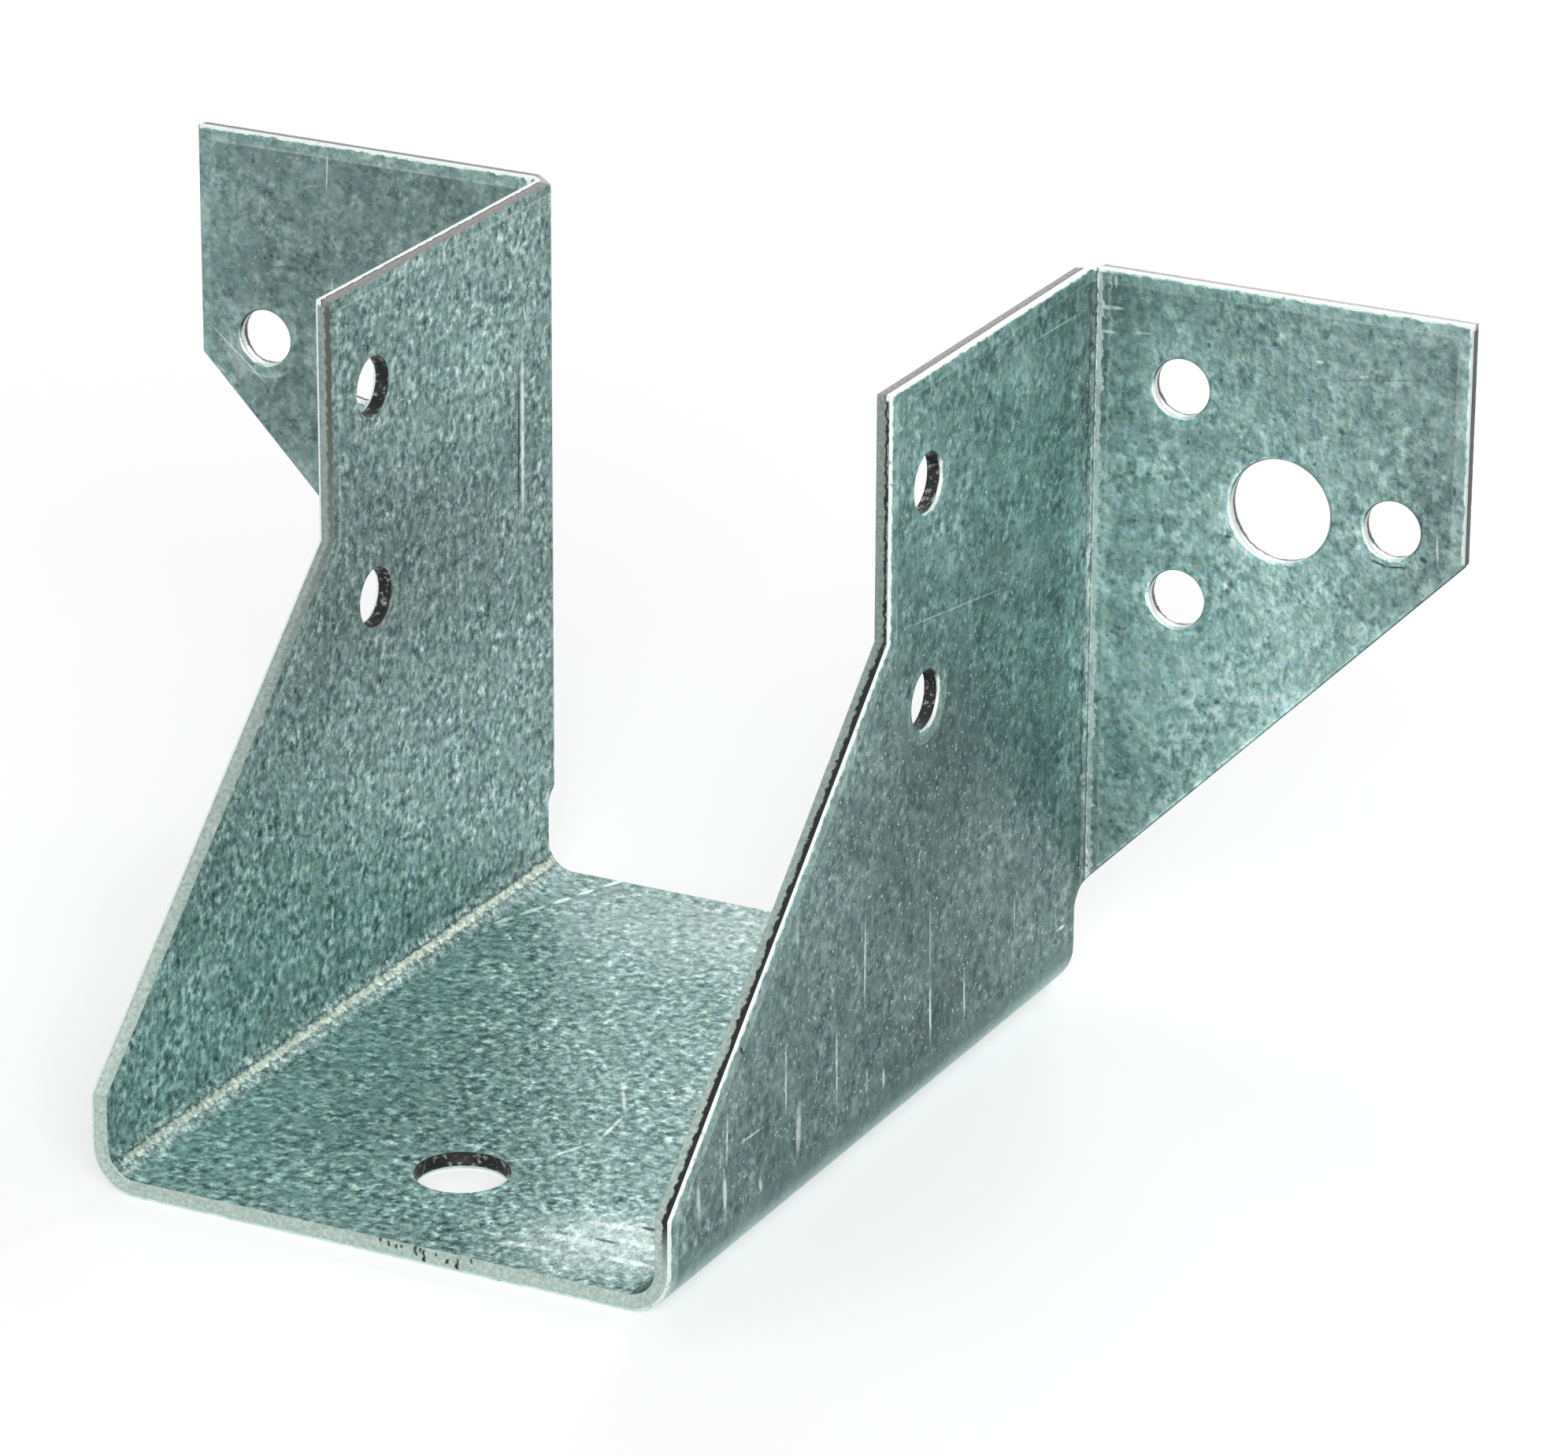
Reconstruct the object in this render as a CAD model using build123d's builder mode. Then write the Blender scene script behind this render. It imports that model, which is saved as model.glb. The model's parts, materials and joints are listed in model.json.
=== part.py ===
from build123d import *
from math import atan2, cos, degrees, isclose, pi, sin, tan
import os

# A joist hanger folded from one piece of galvanised sheet: a flat seat, two side panels that
# stand up from it, and two flanges that turn outwards from the panels' rear edges to lie
# against the header. Millimetres, +Z up, the joist comes in along Y from the front.
# The origin is on the centre plane, midway between the seat's front edge and the header
# face, on the seat's underside.

# Sheet, inner radii of its bends, where in a tight bend the sheet keeps its length as a share
# of the sheet from inside, and the rolled rim that shearing leaves on the sheet's outer side
sheet = 1.5
seat_bend = 2.5
header_bend = 0.5
neutral_share = 0.35
edge_roll = 0.2

# Pocket for the joist, height of panels and flanges, seat's front edge to header face
joist_gap = 50.0
height = 65.0
depth = 77.0

# Front outline of a side panel: a low toe, a long slant, then upright to the top edge
toe = 8.5
kink = 44.0
top_length = 39.3

# Flanges: width over both tips, the two ends of the slanting lower edge, and the round
# relief that leads it into the panel's rear edge
flange_width = 121.0
flange_foot = 10.0
flange_corner = 44.0
relief_radius = 1.5

# Diameters of the holes
nail_hole = 5.0
bolt_hole = 9.0
seat_hole = 7.7

# Rows of holes down from the top edge, and columns out from a panel's outer face
top_row = 9.4
row_pitch = 18.7
inner_nail = 8.2
bolt_column = 17.4
outer_nail = 27.5

# Panel nails from the header face, and the seat's hole from its front edge
panel_nail = 32.5
seat_hole_inset = 14.0

# Places that follow from the sizes above
front = -depth / 2
header = depth / 2
panel_face = joist_gap / 2 + sheet
panel_foot = sheet + seat_bend
flange_front = header - sheet
bend_line = panel_face + header_bend
bend_start = flange_front - header_bend
top_front = header - top_length
middle_row = height - top_row - row_pitch / 2

# The flange's lower edge keeps its slope around the bend, measured on the unstretched layer of
# the sheet, and meets the relief where the bend starts
slope = atan2(flange_corner - flange_foot, flange_width / 2 - bend_line)
bend_rise = (header_bend + neutral_share * sheet) * pi / 2 * tan(slope)
bend_foot = flange_foot - bend_rise
relief_foot = bend_foot - relief_radius * cos(slope)
rear = bend_start - relief_radius * (1 - sin(slope))


def on_outer_side(face: Face) -> bool:
    """Whether a face is on the sheet's outer side: the underside, the outer faces of the
    panels, the front faces of the flanges, and the bends between them."""
    if face.geom_type == GeomType.CYLINDER:
        return isclose(face.radius, seat_bend + sheet) or isclose(face.radius, header_bend)
    middle = face.center()
    return (
        middle.Z < edge_roll / 2
        or isclose(abs(middle.X), panel_face)
        or isclose(middle.Y, flange_front)
    )


# Waste below the lower edge where it climbs around the bend: radial slices about the bend's
# axis that get taller as they turn from the panel to the flange
slices = 6
slice_start = header_bend / 2
slice_length = 1.5 * sheet + header_bend / 2
with BuildPart() as bend_waste:
    for number in range(slices + 1):
        turn = pi / 2 * number / slices
        slice_plane = Plane(
            origin=(bend_line, bend_start, panel_foot),
            x_dir=(-cos(turn), sin(turn), 0),
            z_dir=(sin(turn), cos(turn), 0),
        )
        slice_height = bend_foot + bend_rise * number / slices - panel_foot
        with BuildSketch(slice_plane):
            with Locations((slice_start, 0)):
                Rectangle(slice_length, slice_height, align=(Align.MIN, Align.MIN))
    loft()

with BuildPart() as hanger:
    # Right half of the seat with its bend
    with BuildSketch(Plane.XZ.offset(-rear)):
        with BuildLine():
            Line((0, sheet), (joist_gap / 2 - seat_bend, sheet))
            CenterArc((joist_gap / 2 - seat_bend, panel_foot), seat_bend, -90, 90)
            offset(amount=sheet, side=Side.RIGHT)
        make_face()
    extrude(amount=rear - front)

    # Right side panel and flange, one strip around the header bend
    with BuildSketch(Plane.XY.offset(panel_foot)):
        with BuildLine():
            FilletPolyline(
                (joist_gap / 2, front),
                (joist_gap / 2, header),
                (flange_width / 2, header),
                radius=header_bend + sheet,
            )
            offset(amount=sheet, side=Side.RIGHT)
        make_face()
    extrude(amount=height - panel_foot)

    # Front outline of the panel
    with BuildSketch(Plane.YZ):
        Polygon((front, toe), (top_front, kink), (top_front, height), (front, height), align=None)
    extrude(amount=panel_face, mode=Mode.SUBTRACT)

    # Slanting lower edge of the flange
    with BuildSketch(Plane.XZ.offset(-header)):
        Polygon(
            (bend_line, panel_foot),
            (flange_width / 2, panel_foot),
            (flange_width / 2, flange_corner),
            (bend_line, flange_foot),
            align=None,
        )
    extrude(amount=sheet, mode=Mode.SUBTRACT)

    # Rear edge of the panel below the flange, with the relief at its top
    with BuildSketch(Plane.YZ):
        with BuildLine():
            Polyline(
                (bend_start, bend_foot), (bend_start, panel_foot), (rear, panel_foot), (rear, relief_foot)
            )
            CenterArc((rear + relief_radius, relief_foot), relief_radius, 180, degrees(slope) - 90)
        make_face()
    extrude(amount=panel_face, mode=Mode.SUBTRACT)
    add(bend_waste.part, mode=Mode.SUBTRACT)

    # Left half
    mirror(about=Plane.YZ)

    # Rolled rim around the whole outline: edges that only one face of the outer side has
    outer_edges = hanger.faces().filter_by(on_outer_side).edges()
    outline = outer_edges.filter_by(lambda edge: sum(map(edge.is_same, outer_edges)) == 1)
    fillet(outline, radius=edge_roll)

    # Nail and bolt holes through the flanges
    with Locations(Plane.XZ.offset(-header)):
        with Locations((0, middle_row)):
            with GridLocations(2 * (panel_face + inner_nail), row_pitch, 2, 2):
                Hole(nail_hole / 2)
            with GridLocations(2 * (panel_face + bolt_column), 0, 2, 1):
                Hole(bolt_hole / 2)
            with GridLocations(2 * (panel_face + outer_nail), 0, 2, 1):
                Hole(nail_hole / 2)

    # Nail holes through both side panels
    with Locations(Plane.YZ):
        with Locations((header - panel_nail, middle_row)):
            with GridLocations(0, row_pitch, 1, 2):
                Hole(nail_hole / 2)

    # Hole in the seat
    with Locations((0, front + seat_hole_inset)):
        Hole(seat_hole / 2)

    # The holes' rims are drawn in as far on the outer side
    outer_flats = hanger.faces().filter_by(GeomType.PLANE).filter_by(on_outer_side)
    rims = outer_flats.edges().filter_by(lambda edge: edge.is_closed)
    chamfer(rims, length=edge_roll)

hanger.part.label = "hanger"

os.makedirs("parts", exist_ok=True)
export_step(hanger.part, "parts/hanger.step")
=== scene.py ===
"""Looks of a joist hanger that is folded from one piece of galvanised sheet.

The sheet is worked out flat, as the blank that a press shears and punches, with its rolled rims
and torn edges, and each point of it is then carried around the folds. Lengths are metres.
"""

import json
import logging
from collections.abc import Sequence
from dataclasses import dataclass, field
from enum import Enum
from functools import reduce
from math import atan2, cos, hypot, pi, radians, sin, tan

import bpy
import numpy as np
from mathutils import Matrix, Vector
from mathutils.geometry import delaunay_2d_cdt


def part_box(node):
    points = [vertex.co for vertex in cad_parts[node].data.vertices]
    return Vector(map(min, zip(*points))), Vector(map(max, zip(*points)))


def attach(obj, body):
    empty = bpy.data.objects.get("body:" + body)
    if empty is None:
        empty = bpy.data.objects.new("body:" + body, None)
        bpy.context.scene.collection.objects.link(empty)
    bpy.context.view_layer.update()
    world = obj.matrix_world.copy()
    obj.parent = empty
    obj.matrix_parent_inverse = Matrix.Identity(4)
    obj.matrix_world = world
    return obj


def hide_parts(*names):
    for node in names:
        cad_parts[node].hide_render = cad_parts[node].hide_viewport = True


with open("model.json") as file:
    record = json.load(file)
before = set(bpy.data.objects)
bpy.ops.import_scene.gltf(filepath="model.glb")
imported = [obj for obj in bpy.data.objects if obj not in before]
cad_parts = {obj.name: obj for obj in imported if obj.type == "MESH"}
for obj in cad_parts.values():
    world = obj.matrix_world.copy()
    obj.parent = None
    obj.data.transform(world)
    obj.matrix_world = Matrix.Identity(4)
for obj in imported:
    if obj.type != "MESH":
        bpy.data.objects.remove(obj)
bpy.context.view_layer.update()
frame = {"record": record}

MM = 0.001
# Points of the blank nearer than MERGE are one point, and TINY keeps a direction from nought
MERGE = 1e-9
TINY = 1e-12
log = logging.getLogger("hanger")


class SheetSide(Enum):
    """The two sides of the sheet: the outer side is the one that the shear and punches enter."""

    INNER = 0
    OUTER = 1


class Finish(Enum):
    """Material places on the sheet's mesh."""

    COATED = 0
    SHEARED = 1
    PUNCHED = 2


def segment_distance(points: np.ndarray, ends: np.ndarray) -> np.ndarray:
    """Distance from each point to the nearest of some straight stretches, in the blank's plane.

    A point is projected on a stretch, the share along it is held between 0 and 1, and the
    distance is taken from there.

    Args:
        points: N rows of two coordinates.
        ends: M stretches as an M by 2 by 2 array, each a start and an end.

    Returns:
        N distances.
    """
    best = np.full(len(points), np.inf)
    for start, end in ends:
        along = end - start
        share = np.clip((points - start) @ along / (along @ along), 0, 1)
        nearest = start + share[:, None] * along
        best = np.minimum(best, np.hypot(*(points - nearest).T))
    return best


def inside(points: np.ndarray, loop: np.ndarray) -> np.ndarray:
    """Whether each point lies within a closed loop, by counting crossings to its right.

    Args:
        points: N rows of two coordinates.
        loop: the loop's corners in order.

    Returns:
        N truth values.
    """
    odd = np.zeros(len(points), bool)
    x, y = points.T
    for (x0, y0), (x1, y1) in zip(loop, np.roll(loop, -1, axis=0)):
        if y0 == y1:
            continue
        spans = (y0 > y) != (y1 > y)
        odd ^= spans & (x < x0 + (y - y0) * (x1 - x0) / (y1 - y0))
    return odd


def eased(share: np.ndarray) -> np.ndarray:
    """A share held between 0 and 1 and rounded off at both ends, three squares less two cubes."""
    held = np.clip(share, 0, 1)
    return held * held * (3 - 2 * held)


def counted(start: float, offsets: Sequence[float]) -> tuple[float, ...]:
    """Places given by their offsets from a start."""
    return tuple(start + offset for offset in offsets)


@dataclass(frozen=True)
class Hole:
    """A punched round hole, placed on the unfolded blank."""

    across: float
    along: float
    radius: float


@dataclass(frozen=True)
class HangerSizes:
    """Sizes of the hanger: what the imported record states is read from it, the rest is given."""

    width: float
    depth: float
    height: float
    sheet: float
    gap: float
    holes: dict[str, tuple[float, ...]]
    seat_bend: float = 2.5 * MM
    header_bend: float = 0.5 * MM
    neutral_share: float = 0.35
    toe: float = 8.5 * MM
    kink: float = 44.0 * MM
    top_length: float = 39.3 * MM
    flange_foot: float = 10.0 * MM
    flange_corner: float = 44.0 * MM
    relief_radius: float = 1.5 * MM

    @classmethod
    def from_frame(cls) -> "HangerSizes":
        """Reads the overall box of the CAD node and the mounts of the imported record.

        Returns:
            The sizes, with each hole as its two places and its radius.
        """
        low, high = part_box("hanger")
        mounts = {m["name"]: m for m in frame["record"]["mounts"]}
        nails = mounts["header_inner_nails"]
        outer, bolts = mounts["header_outer_nails"], mounts["header_bolts"]
        joist, seat = mounts["joist_nails_right"], mounts["seat_hole"]
        sheet = mounts["seat_face"]["pos_m"][2]
        rise = nails["dims"]["spacing_y_mm"] * MM / 2
        middle = nails["pos_m"][2]
        nail, bolt = nails["dims"]["hole_r_mm"] * MM, bolts["dims"]["hole_r_mm"] * MM
        inner_x = nails["dims"]["spacing_x_mm"] * MM / 2
        return cls(
            width=high.x - low.x,
            depth=high.y - low.y,
            height=high.z - low.z,
            sheet=sheet,
            gap=2 * (joist["pos_m"][0] - sheet),
            holes={
                "header_nail_low": (inner_x, middle - rise, nail),
                "header_nail_high": (inner_x, middle + rise, nail),
                "header_bolt": (bolts["dims"]["spacing_x_mm"] * MM / 2, middle, bolt),
                "header_nail_outer": (outer["dims"]["spacing_x_mm"] * MM / 2, middle, nail),
                "joist_nail_low": (joist["pos_m"][1], middle - rise, nail),
                "joist_nail_high": (joist["pos_m"][1], middle + rise, nail),
                "seat": (seat["pos_m"][0], seat["pos_m"][1], seat["dims"]["r_mm"] * MM),
            },
        )


@dataclass(frozen=True)
class ShearedEdge:
    """Profile of a sheared or punched edge, from the outer face through the sheet to the inner.

    From outside in, the sheet first rolls over, then has a smooth burnished band that the blade
    rubbed, then a torn band that leans back, and last a broken corner.
    """

    roll: float = 0.28 * MM
    roll_steps: int = 5
    burnish_from: float = 0.62
    break_depth: float = 0.06
    break_lean: float = 0.4
    lean: float = 0.09 * MM
    corner: float = 0.05 * MM
    tear: float = 0.012 * MM
    margin: float = 0.35 * MM

    def points(self, sheet: float) -> tuple[np.ndarray, np.ndarray]:
        """Distances in from the edge, and heights above the inner face, from outside in.

        The roll is a quarter of an ellipse, the rest is straight stretches.

        Args:
            sheet: the sheet's thickness.

        Returns:
            The distances and the heights, as two arrays of the same length.
        """
        turn = np.linspace(0, pi / 2, self.roll_steps + 1)
        smooth = 1 - self.burnish_from
        torn = smooth + self.break_depth
        inset = np.concatenate([
            [self.margin],
            self.roll * (1 - np.sin(turn)),
            [0.0, self.break_lean * self.lean, self.lean, self.lean + self.corner, self.margin],
        ])
        depth = np.concatenate([
            [0.0],
            self.roll * (1 - np.cos(turn)),
            [smooth * sheet, torn * sheet, sheet - self.corner, sheet, sheet],
        ])
        return inset, sheet - depth

    @property
    def wall(self) -> slice:
        """Which stretches of the profile are bare steel: those after the roll, to the corner."""
        return slice(self.roll_steps + 1, self.roll_steps + 5)


@dataclass
class FoldedSheet:
    """The hanger itself: its flat blank, the fold that bends it up, and the mesh of both.

    On the blank, "across" runs from the middle of the seat over the seat's bend and up the side
    panel, and "along" runs from front to back over the header bend and out along the flange.
    Beside each edge the outer face is drawn in by draw_depth, which fades over draw_width. At the
    top of the header bend the stretched metal is pulled down by stretch, over stretch_reach.
    """

    sizes: HangerSizes
    edge: ShearedEdge = field(default_factory=ShearedEdge)
    step: float = 0.4 * MM
    grid_step: float = 1.1 * MM
    hole_steps: int = 72
    bend_steps: int = 10
    relief_steps: int = 9
    crease_share: float = 0.55
    draw_width: float = 1.15 * MM
    draw_depth: float = 0.05 * MM
    draw_rings: tuple[float, float] = (0.6, 1.0)
    draw_slack: float = 0.97
    grid_slack: float = 0.4
    stretch: float = 0.45 * MM
    stretch_reach: float = 2.5 * MM
    bright_way: tuple[float, float, float] = (0.35, -0.7, 0.62)
    sharp_degrees: float = 32
    tear_seed: int = 7

    def __post_init__(self) -> None:
        """Works out the places on the blank that follow from the sizes."""
        s = self.sizes
        self.seat_flat = s.gap / 2 - s.seat_bend
        self.seat_arc = (s.seat_bend + s.sheet / 2) * pi / 2
        self.panel_foot = s.sheet + s.seat_bend
        self.panel_start = self.seat_flat + self.seat_arc
        self.crease = self.seat_flat + self.crease_share * self.seat_arc
        self.front = -s.depth / 2
        self.header = s.depth / 2
        self.bend_start = self.header - s.sheet - s.header_bend
        self.header_arc = (s.header_bend + s.sheet / 2) * pi / 2
        self.bend_line = s.gap / 2 + s.sheet + s.header_bend
        self.flange_start = self.bend_start + self.header_arc
        run = s.width / 2 - self.bend_line
        self.slope = atan2(s.flange_corner - s.flange_foot, run)
        neutral = s.header_bend + s.neutral_share * s.sheet
        self.bend_foot = s.flange_foot - neutral * pi / 2 * tan(self.slope)
        self.relief_foot = self.bend_foot - s.relief_radius * cos(self.slope)
        self.rear = self.bend_start - s.relief_radius * (1 - sin(self.slope))

    def panel(self, height: float) -> float:
        """Where a height of the panel or flange lies across the blank."""
        return self.panel_start + height - self.panel_foot

    def flange(self, x: float) -> float:
        """Where a distance of the flange from the centre plane lies along the blank."""
        return self.flange_start + x - self.bend_line

    def fold(self, across: np.ndarray, along: np.ndarray, above: np.ndarray) -> np.ndarray:
        """Carries points of the blank around its folds.

        Across the blank, the seat's bend turns the sheet up about a line inside the pocket, and
        along it, the header bend turns the panel out about a line outside the pocket. Each
        radius grows or shrinks with the height above the sheet's inner face. The stretched back
        of the header bend is pulled down at the top edge, most at the middle of the bend.

        Args:
            across: distance from the centre line over the seat's bend and up the panel, with a
                minus sign on the left half.
            along: distance from front to back, over the header bend and out on the flange.
            above: distance from the inner face towards the outer one.

        Returns:
            One row of x, y and z for each point.
        """
        s = self.sizes
        side = np.where(across < 0, -1.0, 1.0)
        p = np.abs(across)
        turn = np.clip((p - self.seat_flat) / self.seat_arc, 0, 1) * pi / 2
        reach = s.seat_bend + above
        x = np.minimum(p, self.seat_flat) + reach * np.sin(turn)
        z = self.panel_foot - reach * np.cos(turn) + np.maximum(p - self.panel_start, 0)
        swing = np.clip((along - self.bend_start) / self.header_arc, 0, 1) * pi / 2
        arm = s.sheet + s.header_bend - above
        out = self.bend_line - arm * np.cos(swing) + np.maximum(along - self.flange_start, 0)
        x = np.where(along > self.bend_start, out, x)
        y = np.minimum(along, self.bend_start) + arm * np.sin(swing)
        near_top = eased(1 - (self.panel(s.height) - p) / self.stretch_reach)
        z = z - self.stretch * np.sin(2 * swing) * (1 - above / s.sheet) * near_top
        return np.stack([side * x, y, z], axis=1)

    def half_outline(self) -> list[tuple[float, float, float]]:
        """Corners of the blank's right half, from the front round to the rear.

        Returns:
            Rows of across, along and the step of the samples on the stretch that follows.
        """
        s = self.sizes
        top, tip = self.panel(s.height), self.flange(s.width / 2)
        seat_step = self.seat_arc / self.bend_steps
        header_step = self.header_arc / self.bend_steps
        angles = np.linspace(pi / 2 + self.slope, pi, self.relief_steps)
        relief = [
            (
                self.panel(self.relief_foot + s.relief_radius * sin(a)),
                self.rear + s.relief_radius * (1 + cos(a)),
                self.step,
            )
            for a in angles
        ]
        return [
            (0.0, self.front, self.step),
            (self.seat_flat, self.front, seat_step),
            (self.panel_start, self.front, self.step),
            (self.panel(s.toe), self.front, self.step),
            (self.panel(s.kink), self.header - s.top_length, self.step),
            (top, self.header - s.top_length, self.step),
            (top, self.bend_start, header_step),
            (top, self.flange_start, self.step),
            (top, tip, self.step),
            (self.panel(s.flange_corner), tip, self.step),
            (self.panel(s.flange_foot), self.flange_start, header_step),
            *relief,
            (self.panel_start, self.rear, seat_step),
            (self.seat_flat, self.rear, self.step),
            (0.0, self.rear, self.step),
        ]

    def outline(self) -> np.ndarray:
        """The whole blank's outline as a row of samples, each stretch cut in equal steps.

        Returns:
            One row of across and along for each sample, with the sheet on their left.
        """
        right = np.array(self.half_outline())
        left = right[1:-1][::-1] * [-1, 1, 1]
        left[:, 2] = right[:-2, 2][::-1]
        corners = np.concatenate([right, left])
        ends = np.roll(corners[:, :2], -1, axis=0)
        stretches = []
        for (across, along, step), end in zip(corners, ends):
            start = np.array([across, along])
            count = max(1, round(float(np.hypot(*(end - start))) / step))
            share = np.arange(count)[:, None] / count
            stretches.append(start + share * (end - start))
        return np.concatenate(stretches)

    def blank_holes(self) -> list[Hole]:
        """The punched holes on the unfolded blank, left ones mirrored from the right.

        Returns:
            The right half's holes with the seat's, then the left half's.
        """
        right = []
        for name, (a, b, radius) in self.sizes.holes.items():
            if name == "seat":
                right.append(Hole(a, b, radius))
            elif name.startswith("joist"):
                right.append(Hole(self.panel(b), a, radius))
            else:
                right.append(Hole(self.panel(b), self.flange(a), radius))
        return right + [Hole(-h.across, h.along, h.radius) for h in right if h.across]

    @staticmethod
    def inward(loop: np.ndarray) -> np.ndarray:
        """Directions into the sheet at each sample of a loop, mitred at its corners.

        Each direction is the sum of the normals of the two stretches that meet there, divided
        by one plus their dot product, so that an inset keeps its distance from both.

        Args:
            loop: samples in order, with the sheet on their left.

        Returns:
            One direction for each sample.
        """
        ahead = np.roll(loop, -1, axis=0) - loop
        ahead /= np.hypot(*ahead.T)[:, None]
        normal = np.stack([-ahead[:, 1], ahead[:, 0]], axis=1)
        before = np.roll(normal, 1, axis=0)
        return (normal + before) / (1 + (normal * before).sum(1))[:, None]

    def hole_rim(self, hole: Hole) -> np.ndarray:
        """Samples around a hole, clockwise, so that the sheet is on their left."""
        turn = -np.arange(self.hole_steps) * 2 * pi / self.hole_steps
        return [hole.across, hole.along] + hole.radius * np.stack([np.cos(turn), np.sin(turn)], 1)

    @staticmethod
    def lines(breaks: Sequence[tuple[float, float]]) -> np.ndarray:
        """Grid lines between break points, each stretch cut in equal steps of about its own.

        Args:
            breaks: each break point with the step of the stretch that follows.

        Returns:
            The places of the lines.
        """
        made = [
            np.linspace(a, b, max(1, round((b - a) / step)), endpoint=False)
            for (a, step), (b, _) in zip(breaks, breaks[1:])
        ]
        return np.concatenate([*made, [breaks[-1][0]]])

    def grid(self) -> np.ndarray:
        """Points of an even grid over the blank, with closer lines where it bends.

        Returns:
            One row of across and along for each point, also where the blank is cut away.
        """
        s = self.sizes
        right = self.lines([
            (0.0, self.grid_step),
            (self.seat_flat, self.seat_arc / self.bend_steps),
            (self.panel_start, self.grid_step),
            (self.panel(s.height), self.grid_step),
        ])
        across = np.concatenate([-right[:0:-1], right])
        along = self.lines([
            (self.front, self.grid_step),
            (self.bend_start, self.header_arc / self.bend_steps),
            (self.flange_start, self.grid_step),
            (self.flange(s.width / 2), self.grid_step),
        ])
        return np.stack(np.meshgrid(across, along), axis=-1).reshape(-1, 2)

    def draw_in(self, distance: np.ndarray) -> np.ndarray:
        """How far the outer face is drawn in at a distance from an edge: a square that fades."""
        return self.draw_depth * np.clip(1 - distance / self.draw_width, 0, 1) ** 2

    def edge_distance(self, points: np.ndarray, holes: Sequence[Hole]) -> np.ndarray:
        """Distance of points of the blank from its outline or the rim of a hole, if nearer.

        Args:
            points: across and along of each point.
            holes: the holes on the blank.

        Returns:
            One distance for each point.
        """
        right = np.array(self.half_outline())[:, :2]
        corners = np.concatenate([right, right[1:-1][::-1] * [-1, 1]])
        ends = np.stack([corners, np.roll(corners, -1, axis=0)], axis=1)
        best = segment_distance(points, ends)
        for hole in holes:
            away = np.hypot(points[:, 0] - hole.across, points[:, 1] - hole.along)
            best = np.minimum(best, np.abs(away - hole.radius))
        return best

    def lit(self, points: np.ndarray, ways: np.ndarray) -> np.ndarray:
        """How much the rolled rim of the nearest edge is turned up, forward and to the right.

        The way out of the sheet is carried around the folds as a short step, and its dot product
        with the bright direction is held between 0 and 1.

        Args:
            points: across and along of each point.
            ways: the direction into the sheet at each point, on the blank.

        Returns:
            A number from 0 to 1 for each point.
        """
        step = 0.01 * MM
        level = np.full(len(points), self.sizes.sheet)
        out = points - step * ways / np.linalg.norm(ways, axis=1)[:, None]
        turned = self.fold(*out.T, level) - self.fold(*points.T, level)
        return np.clip(turned @ np.array(self.bright_way) / step, 0, 1)

    def edge_ways(self, points: np.ndarray, holes: Sequence[Hole]) -> np.ndarray:
        """Directions away from the nearest edge, from the distances a short step to each side.

        Args:
            points: across and along of each point.
            holes: the holes on the blank.

        Returns:
            One direction for each point, of any length, kept from nought by a tiny shift.
        """
        step = 0.02 * MM
        ways = [
            self.edge_distance(points + shift, holes) - self.edge_distance(points - shift, holes)
            for shift in (np.array([step, 0]), np.array([0, step]))
        ]
        return np.stack(ways, axis=1) + [TINY, 0]

    @staticmethod
    def on_sheet(points: np.ndarray, rings: Sequence[np.ndarray]) -> np.ndarray:
        """Whether each point lies within the outline's ring and outside the rings of the holes.

        Args:
            points: across and along of each point.
            rings: the outline's ring, then the holes'.

        Returns:
            One truth value for each point.
        """
        held = inside(points, rings[0])
        for ring in rings[1:]:
            held &= ~inside(points, ring)
        return held

    def fill(
        self, loops: Sequence[np.ndarray], ways: Sequence[np.ndarray], holes: Sequence[Hole],
    ) -> tuple[np.ndarray, np.ndarray, np.ndarray]:
        """Triangulates the blank between the inset rings of its edges.

        The points are the rings, two more rings where the outer face is drawn in, and an even
        grid. Triangles whose centre lies outside the outline or within a hole are left out.

        Args:
            loops: samples of the outline and of each hole's rim.
            ways: the direction into the sheet at each of them.
            holes: the holes on the blank.

        Returns:
            The points, the triangles, and where each ring starts among the points.
        """
        rings = [loop + self.edge.margin * way for loop, way in zip(loops, ways)]
        drawn = np.concatenate([
            (loop + share * self.draw_width * way)[::2]
            for share in self.draw_rings
            for loop, way in zip(loops, ways)
        ])
        least = np.repeat(self.draw_rings, len(drawn) // 2) * self.draw_width
        drawn = drawn[self.edge_distance(drawn, holes) > self.draw_slack * least]
        grid = self.grid()
        clear = self.draw_width + self.grid_slack * self.grid_step
        extra = np.concatenate([drawn, grid[self.edge_distance(grid, holes) > clear]])
        starts = np.cumsum([0] + [len(ring) for ring in rings])
        bound = np.concatenate([
            np.stack([np.arange(a, b), np.roll(np.arange(a, b), -1)], axis=1)
            for a, b in zip(starts, starts[1:])
        ])
        points = np.concatenate([*rings, extra[self.on_sheet(extra, rings)]])
        found = delaunay_2d_cdt(points.tolist(), bound.tolist(), [], 0, MERGE)
        if len(found[0]) != len(points):
            raise ValueError("two points of the blank fell together")
        triangles = np.array(found[2])
        held = self.on_sheet(points[triangles].mean(1), rings)
        return points, triangles[held], starts

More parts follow.
